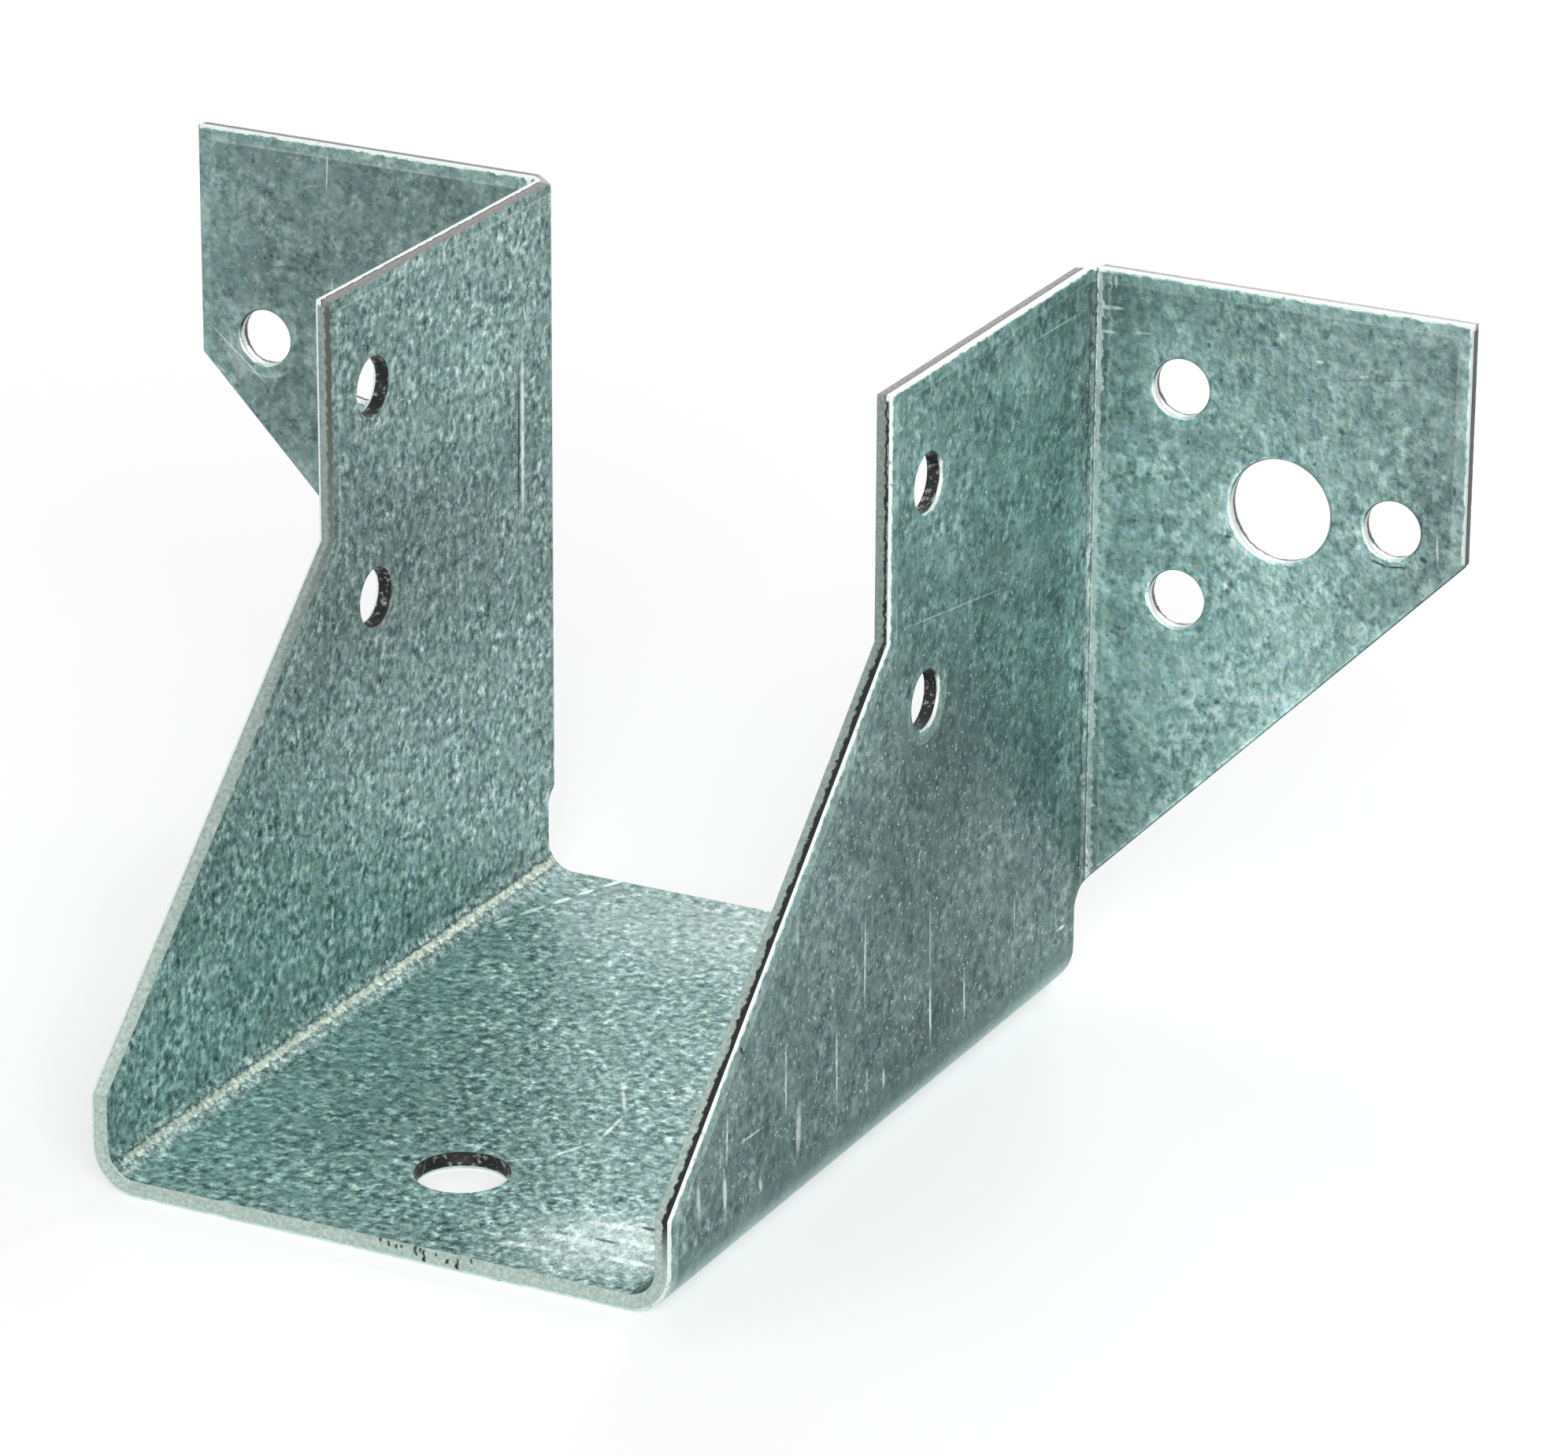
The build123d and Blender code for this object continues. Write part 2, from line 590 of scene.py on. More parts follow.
    def edge_points(
        self, loop: np.ndarray, way: np.ndarray, random: np.random.Generator,
    ) -> tuple[np.ndarray, np.ndarray, np.ndarray, np.ndarray]:
        """Points of one edge between its outer and its inner ring, down the profile.

        The torn band's points are set back at random, each by the size of the mean of two
        neighbouring draws.

        Args:
            loop: samples of the edge.
            way: the direction into the sheet at each of them.
            random: where the draws come from.

        Returns:
            Their places on the blank, heights above the inner face, distances from the edge and
            directions into the sheet.
        """
        inset, height = self.edge.points(self.sizes.sheet)
        size, between = len(loop), len(inset) - 2
        torn = np.zeros((size, len(inset)))
        rough = random.normal(0, self.edge.tear, (size, 3))
        rough = (rough + np.roll(rough, 1, axis=0)) / 2
        torn[:, -4:-1] = np.abs(rough)
        place = loop[:, None] + (inset + torn)[:, 1:-1, None] * way[:, None]
        level = height - height / self.sizes.sheet * self.draw_in(inset)
        return (
            place.reshape(-1, 2),
            np.tile(level[1:-1], size),
            np.tile(inset[1:-1], size),
            np.repeat(way, between, axis=0),
        )

    def edge_faces(
        self, size: int, start: int, count: int, made: int,
    ) -> tuple[np.ndarray, np.ndarray]:
        """Faces of one edge, from its outer ring down the profile to its inner ring.

        Args:
            size: how many samples the edge has.
            start: where its ring starts among the points of either side of the sheet.
            count: how many points a side of the sheet has.
            made: how many points come before the edge's own.

        Returns:
            The four corners of each face, and which stretch of the profile it lies on.
        """
        columns = len(self.edge.points(self.sizes.sheet)[0])
        ids = np.empty((size, columns), int)
        ids[:, 0] = start + np.arange(size)
        ids[:, -1] = count + start + np.arange(size)
        ids[:, 1:-1] = made + np.arange(size * (columns - 2)).reshape(size, -1)
        after = np.roll(ids, -1, axis=0)
        quads = np.stack([ids[:, :-1], ids[:, 1:], after[:, 1:], after[:, :-1]], axis=-1)
        return quads.reshape(-1, 4), np.tile(np.arange(columns - 1), size)

    @staticmethod
    def keep_attribute(mesh: bpy.types.Mesh, name: str, values: np.ndarray) -> None:
        """Stores one number or one vector for each point of the mesh.

        Args:
            mesh: the mesh.
            name: what the materials call it.
            values: a row of numbers, or rows of three.
        """
        kind, part = ("FLOAT", "value") if values.ndim == 1 else ("FLOAT_VECTOR", "vector")
        attribute = mesh.attributes.new(name, kind, "POINT")
        attribute.data.foreach_set(part, values.astype(np.float32).ravel())

    def build(self) -> bpy.types.Object:
        """Makes the mesh: both faces from one triangulated blank, edges as carried profiles.

        Returns:
            The mesh object. Its attribute "blank" holds across, along and above for each point,
            "rim" the distance from the nearest edge, and "lit" how far that edge's rim is turned
            to the light.
        """
        holes = self.blank_holes()
        loops = [self.outline(), *map(self.hole_rim, holes)]
        ways = [self.inward(loop) for loop in loops]
        flat, triangles, starts = self.fill(loops, ways, holes)
        count = len(flat)
        rim = self.edge_distance(flat, holes)
        outer_level = self.sizes.sheet - self.draw_in(rim)
        gathered = [
            [flat, flat], [outer_level, np.zeros(count)], [rim, rim],
            [self.edge_ways(flat, holes)] * 2,
        ]
        quads, finishes = [], []
        random = np.random.default_rng(self.tear_seed)
        wall = self.edge.wall
        for number, (loop, way, start) in enumerate(zip(loops, ways, starts)):
            made = sum(map(len, gathered[0]))
            corners, stretch = self.edge_faces(len(loop), start, count, made)
            quads.append(corners)
            bare = (Finish.PUNCHED if number else Finish.SHEARED).value
            on_wall = (stretch >= wall.start) & (stretch < wall.stop)
            finishes.append(np.where(on_wall, bare, Finish.COATED.value))
            for rows, more in zip(gathered, self.edge_points(loop, way, random)):
                rows.append(more)
        points, level, rims, facing = map(np.concatenate, gathered)
        vertices = self.fold(*points.T, level)
        faces = [*triangles[:, ::-1].tolist(), *(triangles + count).tolist()]
        faces += np.concatenate(quads).tolist()
        mesh = bpy.data.meshes.new("folded_sheet")
        mesh.from_pydata(vertices.tolist(), [], faces)
        finish = np.full(len(faces), Finish.COATED.value, np.int32)
        finish[2 * len(triangles):] = np.concatenate(finishes)
        mesh.polygons.foreach_set("material_index", finish)
        mesh.polygons.foreach_set("use_smooth", np.ones(len(faces), bool))
        self.keep_attribute(mesh, "blank", np.column_stack([points, level]))
        self.keep_attribute(mesh, "rim", rims)
        self.keep_attribute(mesh, "lit", self.lit(points, facing))
        mesh.update()
        mesh.set_sharp_from_angle(angle=radians(self.sharp_degrees))
        piece = bpy.data.objects.new("folded_sheet", mesh)
        bpy.context.scene.collection.objects.link(piece)
        evened = piece.modifiers.new("even normals", "WEIGHTED_NORMAL")
        evened.keep_sharp = True
        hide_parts("hanger")
        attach(piece, "root")
        log.info("folded_sheet: %d vertices, %d faces", len(vertices), len(faces))
        return piece


class Nodes:
    """A material's or world's nodes, with short calls for the ones used here."""

    def __init__(self, owner: bpy.types.Material | bpy.types.World) -> None:
        """Clears the owner's tree.

        Args:
            owner: the material or world.
        """
        owner.use_nodes = True
        self.tree = owner.node_tree
        self.tree.nodes.clear()

    def add(self, kind: str, inputs: dict | None = None, **settings: object) -> bpy.types.Node:
        """Adds a node, sets it up and joins or sets its inputs.

        Args:
            kind: the node's type without its prefix.
            inputs: for each input's name or number, a socket to join or a value to set.
            settings: the node's own properties.

        Returns:
            The node.
        """
        node = self.tree.nodes.new("ShaderNode" + kind)
        for name, value in settings.items():
            setattr(node, name, value)
        for name, value in (inputs or {}).items():
            if isinstance(value, bpy.types.NodeSocket):
                self.tree.links.new(value, node.inputs[name])
            else:
                node.inputs[name].default_value = value
        return node

    def math(self, operation: str, *values: object) -> bpy.types.NodeSocket:
        """One step of arithmetic on numbers."""
        return self.add("Math", dict(enumerate(values)), operation=operation).outputs[0]

    def times(self, *values: object) -> object:
        """The product of the values, from left to right."""
        return reduce(lambda left, right: self.math("MULTIPLY", left, right), values)

    def greatest(self, *values: object) -> object:
        """The greatest of the values, from left to right."""
        return reduce(lambda left, right: self.math("MAXIMUM", left, right), values)

    def fused(self, value: object, factor: object, offset: object) -> bpy.types.NodeSocket:
        """A value times a factor, plus an offset."""
        return self.math("MULTIPLY_ADD", value, factor, offset)

    def vector(self, name: str) -> bpy.types.NodeSocket:
        """A vector that is stored on the mesh under a name."""
        return self.add("Attribute", attribute_name=name).outputs["Vector"]

    def number(self, name: str) -> bpy.types.NodeSocket:
        """A number that is stored on the mesh under a name."""
        return self.add("Attribute", attribute_name=name).outputs["Fac"]

    def noise(
        self, where: object, size: float, detail: float = 2.0, rough: float = 0.55,
    ) -> bpy.types.NodeSocket:
        """Soft noise whose features are about as large as size, in metres."""
        inputs = {"Vector": where, "Scale": 1 / size, "Detail": detail, "Roughness": rough}
        return self.add("TexNoise", inputs).outputs[0]

    def spread(self, value: object, low: float, high: float, *to: float) -> object:
        """Spreads the values from low to high over 0 to 1, or over two other numbers.

        Args:
            value: the values.
            low: the value that becomes the first number; it may be above high.
            high: the value that becomes the second one.
            to: the two numbers, if not 0 and 1.

        Returns:
            The spread values, held between the two numbers.
        """
        start, end = to or (0.0, 1.0)
        inputs = {0: value, 1: low, 2: high, 3: start, 4: end}
        return self.add("MapRange", inputs).outputs[0]

    def ramp(self, value: object, *stops: tuple[float, Sequence[float]]) -> object:
        """A colour for each value, between the stops given.

        Args:
            value: numbers from 0 to 1.
            stops: each stop's place and colour.

        Returns:
            The colour.
        """
        node = self.add("ValToRGB", {0: value})
        elements = node.color_ramp.elements
        while len(elements) < len(stops):
            elements.new(0.5)
        for element, (place, colour) in zip(elements, stops):
            element.position = place
            element.color = (*colour, 1.0)
        return node.outputs[0]

    def parts(self, vector: object) -> tuple[object, object, object]:
        """The three parts of a vector."""
        return tuple(self.add("SeparateXYZ", {0: vector}).outputs)

    def scaled(self, colour: object, gain: object) -> object:
        """A colour made lighter or darker by a gain."""
        return self.add("VectorMath", {0: colour, 3: gain}, operation="SCALE").outputs[0]

    def tinted(self, share: object, under: object, over: object, kind: str = "MIX") -> object:
        """Lays one colour over another by a share; a colour is a socket or three numbers.

        Args:
            share: how much of the upper colour shows, from 0 to 1.
            under: the lower colour.
            over: the upper colour.
            kind: how the two are put together.

        Returns:
            The colour.
        """
        under, over = ((*c, 1.0) if isinstance(c, tuple) else c for c in (under, over))
        inputs = {0: share, 6: under, 7: over}
        return self.add("Mix", inputs, data_type="RGBA", blend_type=kind).outputs[2]

    def surface(self, inputs: dict[str, object]) -> None:
        """Joins a Principled shader with the given inputs to the material's output."""
        shader = self.add("BsdfPrincipled", inputs)
        self.add("OutputMaterial", {"Surface": shader.outputs[0]})


@dataclass(frozen=True)
class SheetPlaces:
    """Sockets that tell a material where on the sheet it is, and what breaks its lines."""

    nodes: Nodes
    blank: object
    across: object
    out: object
    along: object
    rim: object
    outer: object
    breaks: object
    lit: object = 1.0

    def between(self, value: object, low: float, high: float, fade: float) -> object:
        """One between two values, fading to nought over a width outside them."""
        rise = self.nodes.spread(value, low - fade, low)
        return self.nodes.math("MINIMUM", rise, self.nodes.spread(value, high + fade, high))

    def swayed(self, value: object, sway: float) -> object:
        """A place shifted by the breaking noise, by up to about half the sway either way."""
        return self.nodes.fused(self.nodes.math("SUBTRACT", self.breaks, 0.5), sway, value)

    def on_outer(self, share: object) -> object:
        """A share that is kept on the outer side only."""
        return self.nodes.times(share, self.outer)

    def on_inner(self, share: object) -> object:
        """A share that is kept on the inner side only: less the outer side, from nought up."""
        return self.nodes.math("MAXIMUM", self.nodes.math("SUBTRACT", share, self.outer), 0.0)


class Tone(Enum):
    """What a mark does to the zinc: scratched bright or given a painted highlight, dirtied or
    pitted, or broadly lightened or darkened by its own patches and by painted light and shade.
    """

    PALE = 0
    DARK = 1
    CAST = 2


@dataclass(frozen=True)
class Mark:
    """An oval mark on one side of the sheet, placed on its blank, in millimetres."""

    tone: Tone
    side: SheetSide
    middle: tuple[float, float]
    half: tuple[float, float]
    turn: float = 0.0
    strength: float = 1.0
    softness: float = 0.5

    @classmethod
    def scratch(
        cls, tone: Tone, side: SheetSide, start: tuple[float, float], end: tuple[float, float],
        width: float, strength: float,
    ) -> "Mark":
        """A straight scratch between two places on the blank.

        Args:
            tone: pale or dark.
            side: the side of the sheet.
            start: its first end, across and along.
            end: its other end.
            width: its width in the middle.
            strength: how plain it is, from 0 to 1.

        Returns:
            The mark.
        """
        run, rise = end[0] - start[0], end[1] - start[1]
        middle = ((start[0] + end[0]) / 2, (start[1] + end[1]) / 2)
        half = (hypot(run, rise) / 2, width / 2)
        return cls(tone, side, middle, half, atan2(rise, run), strength)


def scratches(tone: Tone, side: SheetSide, *rows: tuple[float, ...]) -> list[Mark]:
    """Scratches from rows of across and along of both ends, width and strength."""
    return [Mark.scratch(tone, side, row[:2], row[2:4], *row[4:]) for row in rows]


def ovals(tone: Tone, side: SheetSide, *rows: tuple[float, ...]) -> list[Mark]:
    """Ovals from rows of across and along, both half lengths, turn, strength and softness."""
    return [Mark(tone, side, row[:2], row[2:4], *row[4:]) for row in rows]


def wear_and_painted_light_marks() -> list[Mark]:
    """The hanger's own scratches, scrapes and stains, its lighter patches, and broad painted light
    and shade with painted highlights on the seat, where each one lies.

    Returns:
        The marks of each panel and flange and of the seat.
    """
    pale, dark, patches_and_painted_light = Tone.PALE, Tone.DARK, Tone.CAST
    inner, outer = SheetSide.INNER, SheetSide.OUTER
    # Scrapes that climb from the bend, a few long scratches and pits, lighter patches near the
    # top, and painted shade over the rest of the outer face
    right_panel = [
        *scratches(
            pale, outer,
            (46.4, -4.8, 37.1, -4.8, 0.41, 0.72), (35.5, 7.4, 29.1, 7.6, 0.47, 0.96),
            (43.4, 7.2, 34.9, 7.4, 0.34, 0.4), (34.3, 13.9, 28.7, 14.1, 0.41, 0.72),
            (37.9, -9.9, 30.6, -9.7, 0.41, 0.96), (40.4, -18.9, 32.8, -18.8, 0.41, 0.8),
            (34.3, -16.5, 28.5, -16.7, 1.08, 0.56), (32.0, -4.2, 29.3, -4.3, 0.34, 0.72),
            (30.8, -1.2, 28.7, -1.1, 0.54, 0.72), (37.8, -29.0, 32.9, -29.1, 0.41, 0.96),
            (33.1, -29.5, 28.7, -29.3, 0.81, 0.8), (30.2, -23.5, 28.3, -23.0, 0.68, 0.64),
            (33.8, -34.0, 30.0, -33.7, 0.81, 0.64), (34.2, -27.3, 34.0, -22.4, 0.2, 0.8),
            (37.1, 23.6, 33.2, 23.7, 0.34, 0.48), (30.4, 32.0, 30.3, 34.2, 0.41, 0.96),
            (85.5, 23.9, 85.3, 36.1, 0.22, 0.72), (68.5, -0.9, 65.2, 22.8, 0.24, 0.4),
        ),
        *scratches(dark, outer, (42.0, -9.7, 37.5, -9.8, 0.4, 0.4)),
        *ovals(dark, outer, (40.8, 35.6, 0.25, 0.25), (42.1, -26.6, 0.5, 0.22, -0.5, 1.6)),
        *ovals(
            patches_and_painted_light, outer,
            (83.4, 22.0, 3.4, 5.5, 0.2, 0.35, 0.9), (83.4, 4.0, 3.0, 4.0, 0.0, 0.3, 0.9),
            (31.5, 8.0, 3.5, 14.0, -0.25, -0.2, 0.9), (58.0, 31.0, 26.0, 5.0, 0.0, -0.15, 0.9),
            (33.0, 0.0, 26.0, 60.0, 0.0, -0.42, 0.7), (58.0, 10.0, 20.0, 30.0, 0.0, -0.5, 0.9),
        ),
    ]
    # Short bright cuts beside the header bend's top, dark nicks at the rims and by the tip, and
    # painted light over the flange, strongest low down near its bend
    right_flange = [
        *scratches(
            pale, outer,
            (85.2, 38.0, 85.4, 41.0, 0.45, 1.3), (83.1, 38.0, 83.2, 40.4, 0.35, 1.0),
            (83.4, 41.4, 83.6, 43.6, 0.3, 0.8), (88.3, 40.0, 86.9, 40.1, 0.4, 1.0),
            (82.7, 62.0, 83.0, 63.1, 0.2, 0.7), (83.5, 58.2, 83.5, 59.0, 0.3, 0.9),
            (77.0, 58.8, 77.0, 59.8, 0.2, 0.9), (70.8, 69.5, 67.0, 69.7, 0.22, 0.8),
        ),
        *ovals(pale, outer, (87.4, 38.3, 0.9, 0.4, 0.0, 0.7)),
        *scratches(
            dark, outer,
            (81.6, 56.9, 83.8, 70.7, 0.14, 0.35), (74.8, 70.9, 73.6, 70.9, 0.35, 0.7),
            (67.1, 63.5, 66.6, 65.3, 0.22, 0.9), (66.6, 65.0, 66.9, 67.1, 0.22, 0.9),
        ),
        *ovals(
            dark, outer,
            (77.0, 69.1, 0.35, 0.2, 0.0, 0.6), (66.9, 50.8, 0.2, 0.4, 0.0, 0.7),
            (67.8, 68.4, 0.3, 0.5, 0.5, 0.8), (71.1, 41.9, 0.2, 0.4, 0.0, 0.5),
            (71.2, 43.4, 0.2, 0.4, 0.0, 0.5),
        ),
        *ovals(
            patches_and_painted_light, outer,
            (60.0, 54.0, 60.0, 18.0, 0.0, 0.28, 0.3), (57.0, 50.0, 32.0, 20.0, 0.0, 1.5, 0.9),
        ),
    ]
    # A long dark scratch with bright borders down the rear, and painted light and shade: lighter
    # high up and low down, most at the front, darker in the middle
    left_panel = [
        *scratches(dark, inner, (-75.6, 31.1, -58.0, 30.8, 0.4, 1.0)),
        *scratches(
            pale, inner,
            (-78.0, 31.7, -57.3, 31.6, 0.8, 0.9), (-79.0, 31.9, -76.8, 32.5, 0.3, 0.95),
            (-67.3, 26.8, -57.3, 26.6, 0.15, 0.35), (-87.3, 32.0, -83.0, 31.6, 0.2, 0.3),
        ),
        *ovals(
            patches_and_painted_light, inner,
            (-78.0, 22.0, 12.0, 16.0, 0.0, 0.25, 0.9), (-60.0, 6.0, 20.0, 40.0, 0.0, -0.32, 0.9),
            (-36.0, -8.0, 26.0, 60.0, 0.0, 0.5, 0.9), (-32.0, -30.0, 14.0, 20.0, 0.0, 0.6, 0.9),
        ),
        *ovals(dark, inner, (-56.7, -7.5, 0.35, 0.35, 0.0, 0.9)),
    ]
    # Fine scratches near the top edge, and painted shade over the flange
    left_flange = [
        *scratches(
            pale, outer,
            (-88.2, 58.7, -84.2, 58.9, 0.2, 0.6), (-70.9, 71.8, -64.7, 64.3, 0.15, 0.7),
            (-76.7, 58.4, -75.1, 58.5, 0.15, 0.6),
        ),
        *ovals(patches_and_painted_light, outer, (-76.0, 54.0, 30.0, 18.0, 0.0, -0.2, 0.3)),
    ]
    # Bright dashes by the left bend's rear end, a curved scratch, streaks at the front right,
    # painted highlights over the front right and the rear, and painted light over the front and
    # the whole seat
    seat = [
        *scratches(
            pale, inner,
            (-23.0, 22.0, -22.2, 24.4, 0.8, 3.0), (-22.0, 24.9, -21.0, 27.8, 0.7, 3.0),
            (-20.6, 28.6, -19.9, 30.6, 0.7, 3.0), (-19.6, 31.4, -18.9, 33.2, 0.6, 3.0),
            (-18.6, 33.9, -17.6, 36.4, 0.6, 2.0), (1.5, -21.3, 4.9, -18.8, 0.5, 1.0),
            (4.6, -19.1, 6.9, -14.0, 0.5, 1.0), (6.9, -14.5, 6.3, -8.0, 0.45, 0.9),
            (6.5, -8.6, 3.6, -3.6, 0.4, 0.9),
        ),
        *ovals(
            pale, inner,
            (16.0, -27.8, 3.4, 0.5, 0.1, 1.2), (19.4, -29.9, 2.6, 0.5, -0.1, 1.2),
            (14.2, -31.6, 3.0, 0.6, 0.0, 1.2), (20.0, -33.2, 2.4, 0.5, 0.0, 1.2),
            (11.5, -34.2, 2.6, 0.5, 0.1, 0.9), (20.4, -25.6, 1.6, 0.9, 0.0, 1.0),
            (17.0, -31.0, 10.0, 7.5, 0.2, 0.75, 0.9), (-2.0, 31.0, 26.0, 14.0, 0.0, 0.34, 0.9),
        ),
        *ovals(dark, inner, (18.6, -27.0, 1.0, 0.35, 0.0, 0.9), (16.5, -30.6, 1.4, 0.3, 0.0, 0.8)),
        *ovals(
            patches_and_painted_light, inner,
            (15.0, -30.0, 14.0, 12.0, 0.0, 0.4, 0.9), (-10.0, -32.0, 18.0, 10.0, 0.0, 0.45, 0.9),
            (0.0, 0.0, 40.0, 50.0, 0.0, 0.16, 0.5),
        ),
    ]
    return [*right_panel, *right_flange, *left_panel, *left_flange, *seat]


@dataclass(frozen=True)
class GalvanisedFinish:
    """Dull zinc with a fine mottle of light and dark flecks, with wear at its edges and bends, and
    painted highlights and painted shade along its edges and bends and over broad areas.

    Flecks, grains, patches, tint, clouds, painted glints and specks are given by their size, and
    their shares and swings say how strong they are. The noise pairs are the two values of a noise
    between which its effect comes in. The calm values say how much weaker the mottle is in a
    place, and the gains how much lighter or darker the painted light and shade make a place than
    the rest.
    """

    sheet: FoldedSheet
    marks: Sequence[Mark] = field(default_factory=wear_and_painted_light_marks)

    # Colours, from the darkest fleck to the lightest, then of scrapes and painted highlights, of
    # the painted highlight on the crease, and of dirt and painted shade
    darkest: tuple[float, float, float] = (0.02, 0.045, 0.044)
    dark: tuple[float, float, float] = (0.095, 0.16, 0.153)
    middle: tuple[float, float, float] = (0.205, 0.305, 0.285)
    light: tuple[float, float, float] = (0.37, 0.50, 0.47)
    lightest: tuple[float, float, float] = (0.78, 0.91, 0.86)
    scraped_and_highlight: tuple[float, float, float] = (0.84, 0.93, 0.89)
    crease_highlight: tuple[float, float, float] = (0.66, 0.76, 0.64)
    dirt_and_shade: tuple[float, float, float] = (0.02, 0.028, 0.027)

    # Mottle, and what is laid over it everywhere
    tone_reach: float = 0.25
    fleck: float = 0.95 * MM
    grain: float = 0.42 * MM
    grain_share: float = 0.17
    patch: float = 3.0 * MM
    patch_noise: tuple[float, float] = (0.35, 0.65)
    patch_swing: tuple[float, float] = (0.45, 1.15)
    tint: float = 0.5 * MM
    tint_swing: tuple[float, float, float] = (0.45, 0.15, 0.65)
    tint_low: tuple[float, float, float] = (0.765, 0.925, 0.695)
    cloud: float = 7.0 * MM
    cloud_share: float = 0.16
    painted_glint: float = 0.4 * MM
    glint_noise: tuple[float, float] = (0.66, 0.74)
    glint_share: float = 0.6
    speck: float = 0.55 * MM
    speck_noise: tuple[float, float] = (0.32, 0.24)
    speck_share: float = 0.5
    break_size: float = 0.8 * MM
    break_noise: tuple[float, float] = (0.35, 0.55)
    break_share: float = 0.4

    # Shine
    relief: float = 0.11 * MM
    metallic: float = 0.75
    roughness: tuple[float, float] = (0.3, 0.42)
    rough_reach: float = 0.2
    reflection: tuple[float, float, float, float] = (0.72, 0.86, 0.83, 1.0)

    # Where the mottle is calmer: rubbed bends, flanges, the outer side and borders
    calmest: float = 0.25
    glint_calm: float = 0.35
    rubbed_past: float = 0.5 * MM
    rubbed_fade: float = 0.8 * MM
    flange_calm: float = 0.7
    flange_fade: float = 0.4 * MM
    outer_calm: float = 0.35
    border_calm: float = 0.6

    # Painted light and shade: lighter borders, painted shade in the hollows of the seat's bends
    # and beside the header bends, and a painted highlight under the seat's bends, by shares of the
    # bend
    border_gain: float = 0.35
    unlit_border: float = 0.5
    hollow_gain: float = -0.62
    hollow_start: float = 1.1 * MM
    hollow_fade: float = 1.0 * MM
    corner_gain: float = -0.3
    corner_before: float = 1.2 * MM
    corner_short: float = 0.3 * MM
    corner_fade: float = 0.7 * MM
    belly_gain: float = 0.5
    belly_shares: tuple[float, float] = (0.5, 0.95)

    # Painted highlight lines: rim, light border, header corner and the line beside it, bends,
    # inner edge
    rim_width: float = 0.17 * MM
    rim_border: tuple[float, float] = (0.04 * MM, -0.03 * MM)
    rim_sway: float = 0.5 * MM
    rim_line_shares: tuple[float, float] = (0.6, 0.95)
    border: float = 1.15 * MM
    border_fade: float = 0.8
    border_line: float = 0.25
    border_line_at: tuple[float, float] = (-0.1 * MM, 0.05 * MM)
    corner_half: float = 0.3 * MM
    corner_line: tuple[float, float] = (1.0, 1.9)
    corner_heights: tuple[float, float] = (45 * MM, 62 * MM)
    line_sway: float = 2.5 * MM
    line_fade: float = 0.08 * MM
    beside_line: float = 0.45
    beside_at: tuple[float, float] = (0.9 * MM, 1.1 * MM)
    beside_fade: float = 0.1 * MM
    belly_line: float = 0.4
    belly_line_shares: tuple[float, float] = (0.55, 0.9)
    edge_line: float = 0.35
    edge_width: tuple[float, float] = (0.2 * MM, 0.12 * MM)

    # Painted highlight on the crease along the inner side of the seat's bends, and painted shade
    # in dark seams
    crease_half: float = 0.34 * MM
    crease_sway: float = 0.6 * MM
    crease_fade: float = 0.35 * MM
    crease_begins: tuple[float, float] = (1.5 * MM, 3 * MM)
    crease_blob: float = 0.7 * MM
    blob_noise: tuple[float, float] = (0.4, 0.62)
    blob_share: float = 0.35
    seam_sway: float = 2.2 * MM
    upper_seam: float = 0.6
    upper_seam_at: tuple[float, float] = (0.5 * MM, 0.75 * MM)
    lower_seam: float = 0.45
    lower_seam_at: tuple[float, float] = (-0.7 * MM, -0.5 * MM)
    corner_seam: float = 0.5
    corner_seam_at: tuple[float, float] = (-0.55 * MM, -0.35 * MM)
    rim_seam: float = 0.8
    rim_seam_width: tuple[float, float] = (0.16 * MM, 0.08 * MM)
    seam_fade: float = 0.12 * MM

    def make(self) -> bpy.types.Material:
        """Makes the material on the sheet's own blank, so that its pattern goes round the bends.

        Returns:
            The material.
        """
        material = bpy.data.materials.new("galvanised_sheet")
        nodes = Nodes(material)
        at = self.places(nodes)
        swing = self.mottle(at)
        calm = nodes.greatest(self.rubbed(at), self.flat_share(at))
        swing = nodes.times(swing, nodes.spread(calm, 0.0, 1.0, 1.0, self.calmest))
        summed_wear_and_light = {tone: self.summed_wear_and_light(at, tone) for tone in Tone}
        colour = self.zinc(at, swing, summed_wear_and_light[Tone.CAST])

        # Painted glints: small white highlight flecks, fewer where the mottle is calm
        painted_glint = nodes.noise(at.blank, self.painted_glint, 1.0)
        painted_glint = nodes.spread(painted_glint, *self.glint_noise, 0.0, self.glint_share)
        painted_glint = nodes.times(painted_glint, nodes.spread(calm, 0.3, 0.7, 1.0, self.glint_calm))
        # Pale: real scrapes and scratches together with painted highlights, painted highlight
        # lines, the painted rim highlight and painted glints
        pale = nodes.math("ADD", summed_wear_and_light[Tone.PALE], self.lines(at))
        pale = nodes.times(pale, nodes.spread(at.breaks, *self.break_noise, self.break_share, 1.0))
        pale = nodes.greatest(pale, self.rim_highlight(at), painted_glint)
        # Painted highlight along the crease of each of the seat's inner bends
        colour = nodes.tinted(nodes.spread(self.crease(at), 0.0, 1.0), colour, self.crease_highlight)
        colour = nodes.tinted(nodes.spread(pale, 0.0, 1.0), colour, self.scraped_and_highlight)
